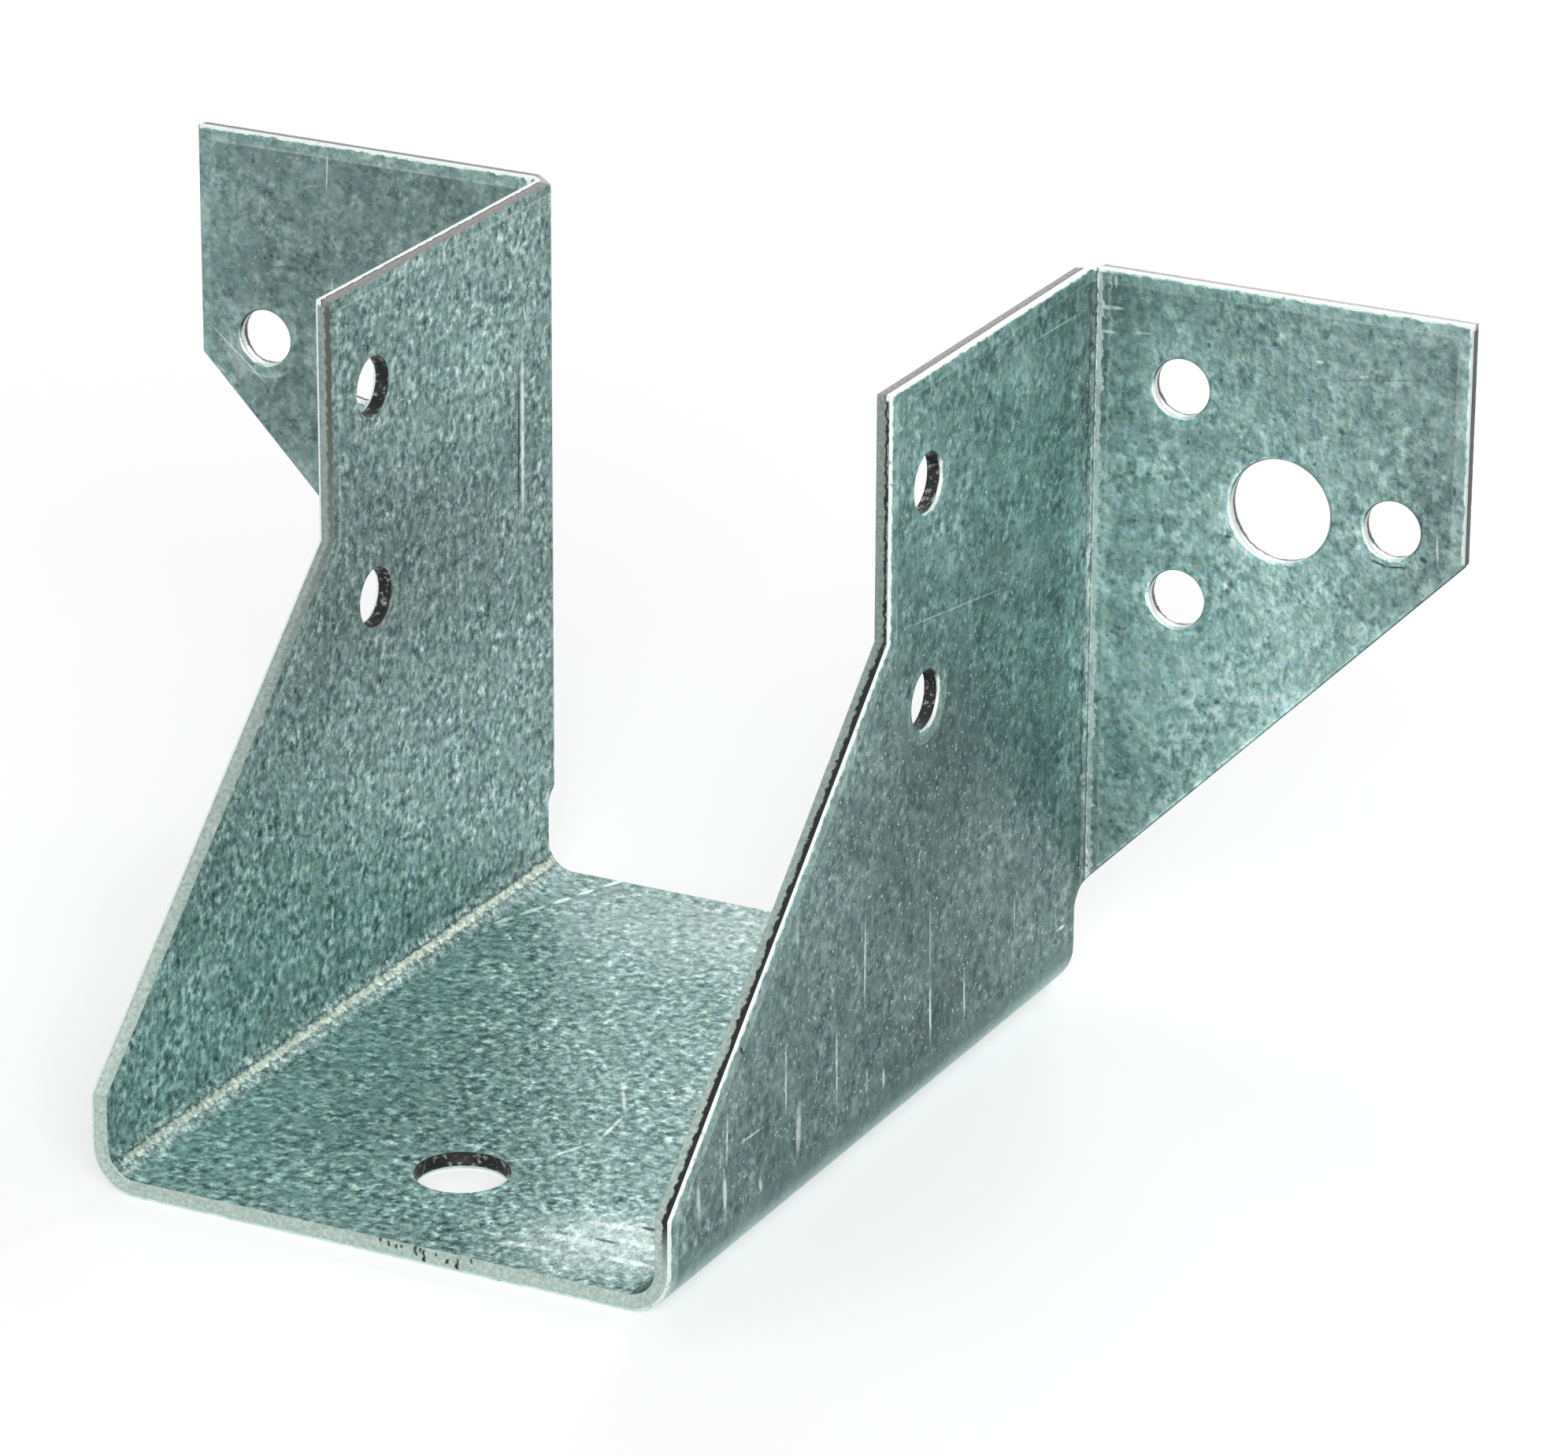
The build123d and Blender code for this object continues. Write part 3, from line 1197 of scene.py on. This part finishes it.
        # Real dark marks and specks, with the painted shade lines, laid on in one dark colour
        speck = nodes.noise(at.blank, self.speck, 1.0)
        speck = nodes.spread(speck, *self.speck_noise, 0.0, self.speck_share)
        dirt_and_shade_share = nodes.greatest(nodes.math("ADD", summed_wear_and_light[Tone.DARK], self.shade_lines(at)), speck)
        colour = nodes.tinted(nodes.spread(dirt_and_shade_share, 0.0, 1.0), colour, self.dirt_and_shade)

        flecks = nodes.noise(at.blank, self.fleck)
        bump = nodes.add("Bump", {"Strength": 1.0, "Distance": self.relief, "Height": flecks})
        nodes.surface({
            "Base Color": colour,
            "Metallic": self.metallic,
            "Roughness": nodes.spread(
                swing, -self.rough_reach, self.rough_reach, *self.roughness,
            ),
            "Normal": bump.outputs[0],
            "Specular Tint": self.reflection,
        })
        return material

    def places(self, nodes: Nodes) -> SheetPlaces:
        """Reads the places on the sheet from what is stored on its mesh.

        Args:
            nodes: the material's nodes.

        Returns:
            The places.
        """
        sheet = self.sheet.sizes.sheet
        blank = nodes.vector("blank")
        rim = nodes.number("rim")
        across, along, above = nodes.parts(blank)
        return SheetPlaces(
            nodes, blank, across, nodes.math("ABSOLUTE", across), along, rim,
            nodes.spread(above, 0.4 * sheet, 0.6 * sheet),
            nodes.noise(blank, self.break_size, 3.0),
            nodes.spread(nodes.number("lit"), 0.1, 0.4),
        )

    def zinc(self, at: SheetPlaces, swing: object, patches_and_painted_light: object) -> object:
        """The zinc's colour, from dark to light flecks, a little tinted, made lighter or darker by
        its patches and by painted light and shade.

        Args:
            at: the places on the sheet.
            swing: the light and dark of the flecks, about nought.
            patches_and_painted_light: how much the broad marks, partly the zinc's own patches and
                partly painted light and shade, lighten or darken each place.

        Returns:
            The colour.
        """
        nodes = at.nodes
        cloud = nodes.math("SUBTRACT", nodes.noise(at.blank, self.cloud, 3.0), 0.5)
        lightness = nodes.fused(cloud, self.cloud_share, swing)
        colour = nodes.ramp(
            nodes.spread(lightness, -self.tone_reach, self.tone_reach),
            (0.0, self.darkest), (0.3, self.dark), (0.5, self.middle), (0.7, self.light),
            (1.0, self.lightest),
        )
        noise = nodes.add("TexNoise", {"Vector": at.blank, "Scale": 1 / self.tint, "Detail": 1.0})
        inputs = {0: noise.outputs["Color"], 1: self.tint_swing, 2: self.tint_low}
        tint = nodes.add("VectorMath", inputs, operation="MULTIPLY_ADD").outputs[0]
        colour = nodes.tinted(1.0, colour, tint, "MULTIPLY")
        return nodes.scaled(colour, nodes.math("ADD", patches_and_painted_light, self.gain(at)))

    def mottle(self, at: SheetPlaces) -> object:
        """The light and dark of the zinc's flecks, about nought.

        It is soft noise with small crisp grains of even tone added by their share, and it swings
        more in some patches than in others.

        Args:
            at: the places on the sheet.

        Returns:
            The swing, mostly within a quarter either way.
        """
        nodes = at.nodes
        soft = nodes.math("SUBTRACT", nodes.noise(at.blank, self.fleck, 3.0, 0.6), 0.5)
        grain = nodes.add("TexVoronoi", {"Vector": at.blank, "Scale": 1 / self.grain})
        tone = nodes.add("TexWhiteNoise", {"Vector": grain.outputs["Position"]}).outputs["Value"]
        swing = nodes.fused(nodes.math("SUBTRACT", tone, 0.5), self.grain_share, soft)
        patch = nodes.noise(at.blank, self.patch, 3.0)
        return nodes.times(swing, nodes.spread(patch, *self.patch_noise, *self.patch_swing))

    def flat_share(self, at: SheetPlaces) -> object:
        """How much calmer the mottle is on the outer side, and on the flanges, which are smoother.

        Args:
            at: the places on the sheet.

        Returns:
            The share, from 0 to 1.
        """
        start = self.sheet.flange_start
        flange = at.nodes.spread(at.along, start - self.flange_fade, start, 0.0, self.flange_calm)
        return at.nodes.greatest(flange, at.nodes.times(at.outer, self.outer_calm))

    def rubbed(self, at: SheetPlaces) -> object:
        """Where the die rubbed the mottle smooth: the outer side of the seat's bends, and borders.

        Args:
            at: the places on the sheet.

        Returns:
            The share, from 0 to 1.
        """
        fold = self.sheet
        end, inset = fold.panel_start + self.rubbed_past, self.border_fade * self.border
        bend = at.between(at.out, fold.seat_flat, end, self.rubbed_fade)
        border = at.nodes.spread(at.rim, self.border, inset, 0.0, self.border_calm)
        return at.on_outer(at.nodes.greatest(bend, border))

    def gain(self, at: SheetPlaces) -> object:
        """How much lighter or darker painted light and shade make the zinc beside edges and bends.

        A border along each outer edge is lighter, most where its rim is turned to the light.
        Painted shade darkens the seat's side of each inner bend and the panel's side of each
        header bend. A painted highlight lights the underside of the seat's bends.

        Args:
            at: the places on the sheet.

        Returns:
            The gain, 1 where nothing changes.
        """
        nodes, fold = at.nodes, self.sheet
        border = nodes.spread(at.rim, self.border, self.border_fade * self.border)
        glow = nodes.spread(at.lit, 0.0, 1.0, self.unlit_border, 1.0)
        border = nodes.times(at.on_outer(border), glow)
        start = fold.seat_flat + self.hollow_start
        hollow_shade = at.on_inner(at.between(at.out, start, fold.crease, self.hollow_fade))
        start, end = fold.bend_start - self.corner_before, fold.flange_start - self.corner_short
        corner = at.on_outer(at.between(at.along, start, end, self.corner_fade))
        low, high = (fold.seat_flat + share * fold.seat_arc for share in self.belly_shares)
        belly_highlight = at.on_outer(nodes.spread(at.out, high, low))
        gain: object = 1.0
        for share, more in (
            (border, self.border_gain), (hollow_shade, self.hollow_gain),
            (corner, self.corner_gain), (belly_highlight, self.belly_gain),
        ):
            gain = nodes.fused(share, more, gain)
        return gain

    def rim_highlight(self, at: SheetPlaces) -> object:
        """A painted highlight on the outer side's rolled rim where it faces the light, with a
        ragged border, brightest high up.

        Args:
            at: the places on the sheet.

        Returns:
            How bright each place is, from 0 to 1.
        """
        nodes = at.nodes
        ragged = at.swayed(at.rim, self.rim_sway)
        line = nodes.spread(ragged, *counted(self.rim_width, self.rim_border))
        low, high = self.sheet.seat_flat, self.sheet.panel_start
        climb = nodes.spread(at.out, low, high, *self.rim_line_shares)
        return nodes.times(line, at.outer, climb, at.lit)

    def lines(self, at: SheetPlaces) -> object:
        """Painted highlights as bright broken lines along edges and bends.

        On the outer side one lies on each header corner, brighter high up, a fainter one beside
        it, one on the inner side of the light border where the rim faces the light, and a broad
        one under the seat's bends. On the inner side one lies on the edge itself.

        Args:
            at: the places on the sheet.

        Returns:
            How bright each place is, from 0 to 1.
        """
        nodes, fold = at.nodes, self.sheet
        ragged = nodes.math("MAXIMUM", nodes.math("SUBTRACT", at.breaks, 0.5), 0.0)
        along = nodes.fused(ragged, -self.line_sway, at.along)
        start = fold.flange_start
        sides = (-self.corner_half, self.corner_half)
        corner = at.between(along, *counted(start, sides), self.line_fade)
        beside = at.between(along, *counted(start, self.beside_at), self.beside_fade)
        border = counted(self.border, self.border_line_at)
        border = at.between(at.rim, *border, self.line_fade)
        low, high = map(fold.panel, self.corner_heights)
        corner = nodes.times(corner, nodes.spread(at.out, low, high, *self.corner_line))
        outside = at.on_outer(nodes.fused(beside, self.beside_line, corner))
        outside = nodes.fused(nodes.times(border, at.lit), self.border_line, outside)
        low, top = (fold.seat_flat + share * fold.seat_arc for share in self.belly_line_shares)
        belly_highlight = at.on_outer(nodes.spread(at.out, top, low))
        outside = nodes.fused(belly_highlight, self.belly_line, outside)
        edge = at.on_inner(nodes.spread(at.rim, *self.edge_width, 0.0, self.edge_line))
        return nodes.math("ADD", outside, edge)

    def crease(self, at: SheetPlaces) -> object:
        """A painted highlight on the line pressed along the inner side of each of the seat's
        bends, in blobs.

        Args:
            at: the places on the sheet.

        Returns:
            Its share, from 0 to 1.
        """
        nodes, fold = at.nodes, self.sheet
        out = at.swayed(at.out, self.crease_sway)
        low, high = fold.crease - self.crease_half, fold.crease + self.crease_half
        line = at.between(out, low, high, self.crease_fade)
        begun = nodes.spread(at.along, *counted(fold.front, self.crease_begins))
        line = at.on_inner(nodes.times(line, begun))
        blobs = nodes.noise(at.blank, self.crease_blob, 2.0)
        blobs = nodes.spread(blobs, *self.blob_noise, self.blob_share, 1.0)
        return nodes.times(line, blobs)

    def shade_lines(self, at: SheetPlaces) -> object:
        """Painted shade: thin dark lines on both sides of the inner creases, at header corners and
        along rims turned from the light.

        Args:
            at: the places on the sheet.

        Returns:
            How dark each place is, from 0 to 1.
        """
        nodes, fold = at.nodes, self.sheet
        out, fade = at.swayed(at.out, self.seam_sway), self.seam_fade
        upper = at.between(out, *counted(fold.crease, self.upper_seam_at), fade)
        lower = at.between(out, *counted(fold.crease, self.lower_seam_at), fade)
        upper = nodes.times(upper, self.upper_seam)
        crease = at.on_inner(nodes.fused(lower, self.lower_seam, upper))
        corner = at.between(at.along, *counted(fold.flange_start, self.corner_seam_at), fade)
        corner = nodes.times(corner, at.outer, self.corner_seam)
        unlit = at.on_outer(nodes.math("SUBTRACT", 1.0, at.lit))
        outline = nodes.spread(at.rim, *self.rim_seam_width, 0.0, self.rim_seam)
        outline = nodes.times(outline, unlit)
        return nodes.math("ADD", nodes.math("ADD", crease, corner), outline)

    def summed_wear_and_light(self, at: SheetPlaces, tone: Tone) -> object:
        """Adds up the marks of one tone; each is an oval that fades towards its border.

        Along each of an oval's axes the distance from its middle is divided by half its length,
        and the root of the sum of both squares is 1 at its border.

        Args:
            at: the places on the sheet.
            tone: which marks.

        Returns:
            Their sum, by strength.
        """
        nodes = at.nodes

        def turned(turn: float, middle: tuple[float, float], half: float) -> object:
            """Distance from the middle in a direction on the blank, in half lengths.

            Args:
                turn: the direction.
                middle: the middle, in millimetres.
                half: the half length, in millimetres.

            Returns:
                The distance.
            """
            x, y = cos(turn) / (half * MM), sin(turn) / (half * MM)
            offset = -(x * middle[0] + y * middle[1]) * MM
            return nodes.fused(at.across, x, nodes.fused(at.along, y, offset))

        total: object = 0.0
        for side in SheetSide:
            covered: object = 0.0
            for mark in (m for m in self.marks if m.tone is tone and m.side is side):
                one = turned(mark.turn, mark.middle, mark.half[0])
                other = turned(mark.turn + pi / 2, mark.middle, mark.half[1])
                away = nodes.math("SQRT", nodes.fused(one, one, nodes.times(other, other)))
                fall = nodes.fused(away, -1 / mark.softness, 1 / mark.softness)
                cover = nodes.math("MINIMUM", nodes.math("MAXIMUM", fall, 0.0), 1.0)
                covered = nodes.fused(cover, mark.strength, covered)
            here = at.outer if side is SheetSide.OUTER else nodes.math("SUBTRACT", 1.0, at.outer)
            total = nodes.fused(covered, here, total)
        return total


@dataclass(frozen=True)
class ShearedFinish:
    """Steel of the sheared outline: pale low down, dark bands high up, top edges made white by a
    painted highlight, and a painted dark reflection along the right panel's front.

    Heights through the sheet are shares from its inner face, and nicks are given by their place
    across the seat's front in millimetres and the shares that they run from and to.
    """

    sheet: FoldedSheet
    high: tuple[float, float, float] = (0.26, 0.33, 0.305)
    low: tuple[float, float, float] = (0.46, 0.57, 0.52)
    top: tuple[float, float, float] = (0.32, 0.33, 0.315)
    # white is the colour of the painted highlight on the top edges
    white: tuple[float, float, float] = (0.92, 0.93, 0.92)
    band: tuple[float, float, float] = (0.10, 0.11, 0.09)
    black: tuple[float, float, float] = (0.01, 0.012, 0.012)
    nicks: tuple[tuple[float, float, float], ...] = (
        (0.4, 0.0, 0.2), (1.1, 0.1, 0.3), (1.8, 0.15, 0.35), (2.3, 0.2, 0.3), (3.6, 0.0, 0.45),
        (4.0, 0.1, 0.3), (4.3, 0.15, 0.7), (5.4, 0.15, 0.25), (6.5, 0.35, 0.7), (7.4, 0.3, 0.8),
        (8.6, 0.1, 0.2),
    )
    nick_half: float = 0.07
    nick_sway: float = 0.7 * MM
    break_size: float = 0.6 * MM
    band_sway: float = 0.6
    top_sway: float = 0.2
    speckle: float = 0.35 * MM
    speckle_noise: tuple[float, float] = (0.3, 0.7)
    speckle_swing: tuple[float, float] = (0.75, 1.25)
    left_top_shade: float = -0.35
    dusk_band: tuple[float, float] = (0.04, 0.32)
    slant_band: tuple[float, float] = (0.5, 0.9)
    upright_band: tuple[float, float] = (0.6, 0.68)
    band_fade: float = 0.08
    top_highlight: tuple[float, float] = (0.56, 0.6)
    groove: tuple[float, float] = (0.5, 0.54)
    groove_fade: float = 0.04
    groove_share: float = 0.75
    tip_share: float = 0.9
    relief: float = 0.04 * MM
    metallic: float = 0.4
    roughness: float = 0.5

    def make(self) -> bpy.types.Material:
        """Makes the material on the height through the sheet and the place on the blank.

        Returns:
            The material.
        """
        material = bpy.data.materials.new("sheared_steel")
        nodes = Nodes(material)
        blank = nodes.vector("blank")
        up = nodes.parts(nodes.add("TexCoord").outputs["Object"])[2]
        across, along, above = nodes.parts(blank)
        at = SheetPlaces(
            nodes, blank, across, nodes.math("ABSOLUTE", across), along, above, above,
            nodes.noise(blank, self.break_size, 3.0),
        )
        even = nodes.math("DIVIDE", above, self.sheet.sizes.sheet)
        share = at.swayed(even, self.band_sway)
        edge = self.sheet.panel(self.sheet.sizes.height)
        on_top = nodes.spread(at.out, edge - 0.6 * MM, edge - 0.4 * MM)
        on_front = nodes.math("SUBTRACT", 1.0, on_top)
        right = nodes.spread(across, -1 * MM, 1 * MM)
        left = nodes.math("SUBTRACT", 1.0, right)

        colour = nodes.tinted(nodes.spread(up, 45 * MM, 10 * MM), self.high, self.low)
        colour = nodes.tinted(on_top, colour, self.top)
        shaded = nodes.fused(nodes.times(left, on_top), self.left_top_shade, 1.0)
        speckle = nodes.noise(blank, self.speckle, 3.0)
        speckle = nodes.spread(speckle, *self.speckle_noise, *self.speckle_swing)
        colour = nodes.scaled(colour, nodes.times(speckle, shaded))
        dusk = at.between(share, *self.dusk_band, self.band_fade)
        dusk = nodes.times(dusk, nodes.spread(up, 30 * MM, 55 * MM), left, on_front)
        colour = nodes.tinted(dusk, colour, self.band)
        # Painted dark reflection along the right panel's front edge
        shade = nodes.times(self.shade(at, share, up), right, on_front)
        colour = nodes.tinted(shade, colour, self.black)
        colour = nodes.tinted(self.nicked(at, share), colour, self.black)
        # Painted highlight: the upper part of the top edges is made white
        even = at.swayed(even, self.top_sway)
        top_highlight = nodes.times(nodes.spread(even, *self.top_highlight), on_top)
        colour = nodes.tinted(top_highlight, colour, self.white)
        groove = at.between(even, *self.groove, self.groove_fade)
        groove = nodes.times(groove, on_top, self.groove_share)
        colour = nodes.tinted(groove, colour, self.black)
        tip = self.sheet.flange(self.sheet.sizes.width / 2)
        at_tip = nodes.spread(along, tip - 0.9 * MM, tip - 0.7 * MM, 0.0, self.tip_share)
        colour = nodes.tinted(nodes.times(at_tip, on_front), colour, self.black)
        bump = nodes.add("Bump", {"Strength": 1.0, "Distance": self.relief, "Height": at.breaks})
        nodes.surface({
            "Base Color": colour,
            "Metallic": self.metallic,
            "Roughness": self.roughness,
            "Normal": bump.outputs[0],
        })
        return material

    def shade(self, at: SheetPlaces, share: object, up: object) -> object:
        """A painted dark reflection in a band of the right panel's front edge: broad on the
        slanting front, thin above the kink.

        Args:
            at: the places on the sheet.
            share: the height through the sheet.
            up: the height above the seat's underside.

        Returns:
            How dark each place is, from 0 to 1.
        """
        nodes, kink = at.nodes, self.sheet.sizes.kink
        below, above = kink - 1 * MM, kink + 1 * MM
        foot = nodes.times(nodes.spread(up, 4 * MM, 8 * MM), nodes.spread(up, above, below))
        slant = nodes.times(at.between(share, *self.slant_band, self.band_fade), foot)
        upright = at.between(share, *self.upright_band, self.band_fade)
        upright = nodes.times(upright, nodes.spread(up, below, above))
        return nodes.math("ADD", slant, upright)

    def nicked(self, at: SheetPlaces, share: object) -> object:
        """The nicks in the seat's front edge.

        Args:
            at: the places on the sheet.
            share: the height through the sheet.

        Returns:
            How dark each place is, from 0 to 1.
        """
        nodes = at.nodes
        found: object = 0.0
        across = at.swayed(at.across, self.nick_sway)
        for place, start, end in self.nicks:
            left, right = (place - self.nick_half) * MM, (place + self.nick_half) * MM
            cut = at.between(across, left, right, 0.1 * MM)
            cut = nodes.times(cut, at.between(share, start, end, 0.1))
            found = nodes.greatest(found, cut)
        front = self.sheet.front
        return nodes.times(found, nodes.spread(at.along, front + 1 * MM, front))


@dataclass(frozen=True)
class PunchedFinish:
    """Steel inside the punched holes: painted shade with painted glints makes it nearly black in
    the seat and panels, and it is pale in the flanges.
    """

    sheet: FoldedSheet
    black: tuple[float, float, float] = (0.02, 0.022, 0.022)
    pale: tuple[float, float, float] = (0.75, 0.78, 0.76)
    painted_glint: tuple[float, float, float] = (0.5, 0.54, 0.5)
    glint_size: float = 0.5 * MM
    glint_noise: tuple[float, float] = (0.55, 0.68)
    glint_share: float = 0.8
    ragged_size: float = 0.6 * MM
    ragged_share: float = 0.3
    torn_top: tuple[float, float] = (0.62, 0.55)
    torn_foot: tuple[float, float] = (0.26, 0.33)
    metallic: float = 0.5
    roughness: float = 0.4

    def make(self) -> bpy.types.Material:
        """Makes the material on the place on the blank, with a torn band in the flange's holes.

        Returns:
            The material.
        """
        material = bpy.data.materials.new("punched_steel")
        nodes = Nodes(material)
        blank = nodes.vector("blank")
        along, above = nodes.parts(blank)[1:]
        share = nodes.math("DIVIDE", above, self.sheet.sizes.sheet)
        # Painted shade with painted glints on the walls of the seat's and panels' holes
        painted_glint = nodes.noise(blank, self.glint_size, 3.0)
        painted_glint = nodes.spread(painted_glint, *self.glint_noise, 0.0, self.glint_share)
        dark = nodes.tinted(painted_glint, self.black, self.painted_glint)
        ragged = nodes.fused(nodes.noise(blank, self.ragged_size), self.ragged_share, share)
        top, foot = nodes.spread(ragged, *self.torn_top), nodes.spread(ragged, *self.torn_foot)
        pale = nodes.tinted(nodes.math("MINIMUM", top, foot), self.pale, self.black)
        start = self.sheet.flange_start
        colour = nodes.tinted(nodes.spread(along, start - 1 * MM, start), dark, pale)
        nodes.surface({
            "Base Color": colour,
            "Metallic": self.metallic,
            "Roughness": self.roughness,
        })
        return material


@dataclass(frozen=True)
class Lamp:
    """A square lamp that faces the hanger from a given side and height."""

    name: str
    azimuth: float
    elevation: float
    size: float
    radiance: float
    distance: float = 1.0
    target: tuple[float, float, float] = (0.0, 0.0, 0.03)

    def build(self) -> bpy.types.Object:
        """Makes the lamp: azimuth 0 is in front of the hanger, 90 to its right.

        Returns:
            The lamp's object.
        """
        data = bpy.data.lights.new(self.name, "AREA")
        data.size = self.size
        data.energy = self.radiance * pi * self.size ** 2
        turn, rise = radians(self.azimuth), radians(self.elevation)
        away = Vector((sin(turn) * cos(rise), -cos(turn) * cos(rise), sin(rise)))
        lamp = bpy.data.objects.new(self.name, data)
        lamp.location = Vector(self.target) + self.distance * away
        lamp.rotation_euler = away.to_track_quat("Z", "Y").to_euler()
        lamp.visible_camera = False
        bpy.context.scene.collection.objects.link(lamp)
        return lamp


@dataclass
class Studio:
    """Pale floor, white background and plain soft lamps."""

    floor_tone: float = 0.8
    floor_glow: float = 0.44
    floor_radius: float = 3.0
    floor_corners: int = 64
    world_light: float = 0.3
    lamps: Sequence[Lamp] = (
        Lamp("key", 32, 25, 0.8, 4.4, 1.2),
        Lamp("behind", 183, 20, 0.6, 3.6, 1.1),
        Lamp("overhead", 200, 65, 0.6, 1.0),
    )

    def build(self) -> None:
        """Makes the floor, the world and the lamps."""
        self.floor()
        self.world()
        for lamp in self.lamps:
            lamp.build()

    @staticmethod
    def seen(nodes: Nodes) -> object:
        """Tells which rays are seen: the camera's, reflected ones and those through clear things.

        Args:
            nodes: the material's or world's nodes.

        Returns:
            One for those rays, nought for others.
        """
        ray = nodes.add("LightPath").outputs
        kinds = ("Is Camera Ray", "Is Glossy Ray", "Is Transmission Ray")
        return nodes.greatest(*(ray[kind] for kind in kinds))

    def floor(self) -> None:
        """A wide disc under the hanger, pale by its colour and whiter where it is seen."""
        turn = np.linspace(0, 2 * pi, self.floor_corners + 1)[:-1]
        ring = self.floor_radius * np.stack([np.cos(turn), np.sin(turn), 0 * turn], axis=1)
        mesh = bpy.data.meshes.new("floor")
        mesh.from_pydata(ring.tolist(), [], [list(range(self.floor_corners))])
        piece = bpy.data.objects.new("floor", mesh)
        bpy.context.scene.collection.objects.link(piece)
        material = bpy.data.materials.new("pale_floor")
        nodes = Nodes(material)
        paint = nodes.add("BsdfDiffuse", {"Color": (*(self.floor_tone,) * 3, 1)})
        strength = nodes.times(self.seen(nodes), self.floor_glow)
        glow = nodes.add("Emission", {"Color": (1, 1, 1, 1), "Strength": strength})
        both = nodes.add("AddShader", {0: paint.outputs[0], 1: glow.outputs[0]})
        nodes.add("OutputMaterial", {"Surface": both.outputs[0]})
        mesh.materials.append(material)

    def world(self) -> None:
        """White where the camera, reflections and clear things see it, plainer as a light."""
        world = bpy.data.worlds.new("studio")
        bpy.context.scene.world = world
        nodes = Nodes(world)
        strength = nodes.spread(self.seen(nodes), 0.0, 1.0, self.world_light, 1.0)
        back = nodes.add("Background", {"Color": (1, 1, 1, 1), "Strength": strength})
        nodes.add("OutputWorld", {"Surface": back.outputs[0]})


@dataclass(frozen=True)
class PhotographCamera:
    """The camera as it was fitted to the photograph's straight edges and holes."""

    aim: tuple[float, float, float] = (12.23 * MM, 8.59 * MM, 31.02 * MM)
    azimuth: float = 26.869
    elevation: float = 21.295
    roll: float = 0.348
    distance: float = 625.9 * MM
    focal_mm: float = 174.0
    sensor_mm: float = 36.0
    near: float = 0.01
    far: float = 20.0

    def build(self) -> None:
        """Makes the camera and makes it the scene's own."""
        turn, rise = radians(self.azimuth), radians(self.elevation)
        ahead = Vector((-sin(turn) * cos(rise), cos(turn) * cos(rise), -sin(rise)))
        data = bpy.data.cameras.new("photograph")
        data.lens = self.focal_mm
        data.sensor_width = self.sensor_mm
        data.sensor_fit = "HORIZONTAL"
        data.clip_start = self.near
        data.clip_end = self.far
        camera = bpy.data.objects.new("photograph", data)
        upright = ahead.to_track_quat("-Z", "Y").to_matrix()
        camera.matrix_world = (
            Matrix.Translation(Vector(self.aim) - self.distance * ahead)
            @ (upright @ Matrix.Rotation(radians(self.roll), 3, "Z")).to_4x4()
        )
        bpy.context.scene.collection.objects.link(camera)
        bpy.context.scene.camera = camera


def main() -> None:
    """Builds the camera, the hanger with its finishes, and the studio, in that order."""
    logging.basicConfig(level=logging.INFO, format="%(name)s: %(message)s")
    PhotographCamera().build()
    sheet = FoldedSheet(HangerSizes.from_frame())
    piece = sheet.build()
    finishes = {
        Finish.COATED: GalvanisedFinish(sheet),
        Finish.SHEARED: ShearedFinish(sheet),
        Finish.PUNCHED: PunchedFinish(sheet),
    }
    for place in Finish:
        piece.data.materials.append(finishes[place].make())
    Studio().build()
    bpy.context.scene.view_settings.view_transform = "Standard"


if __name__ == "__main__":
    main()
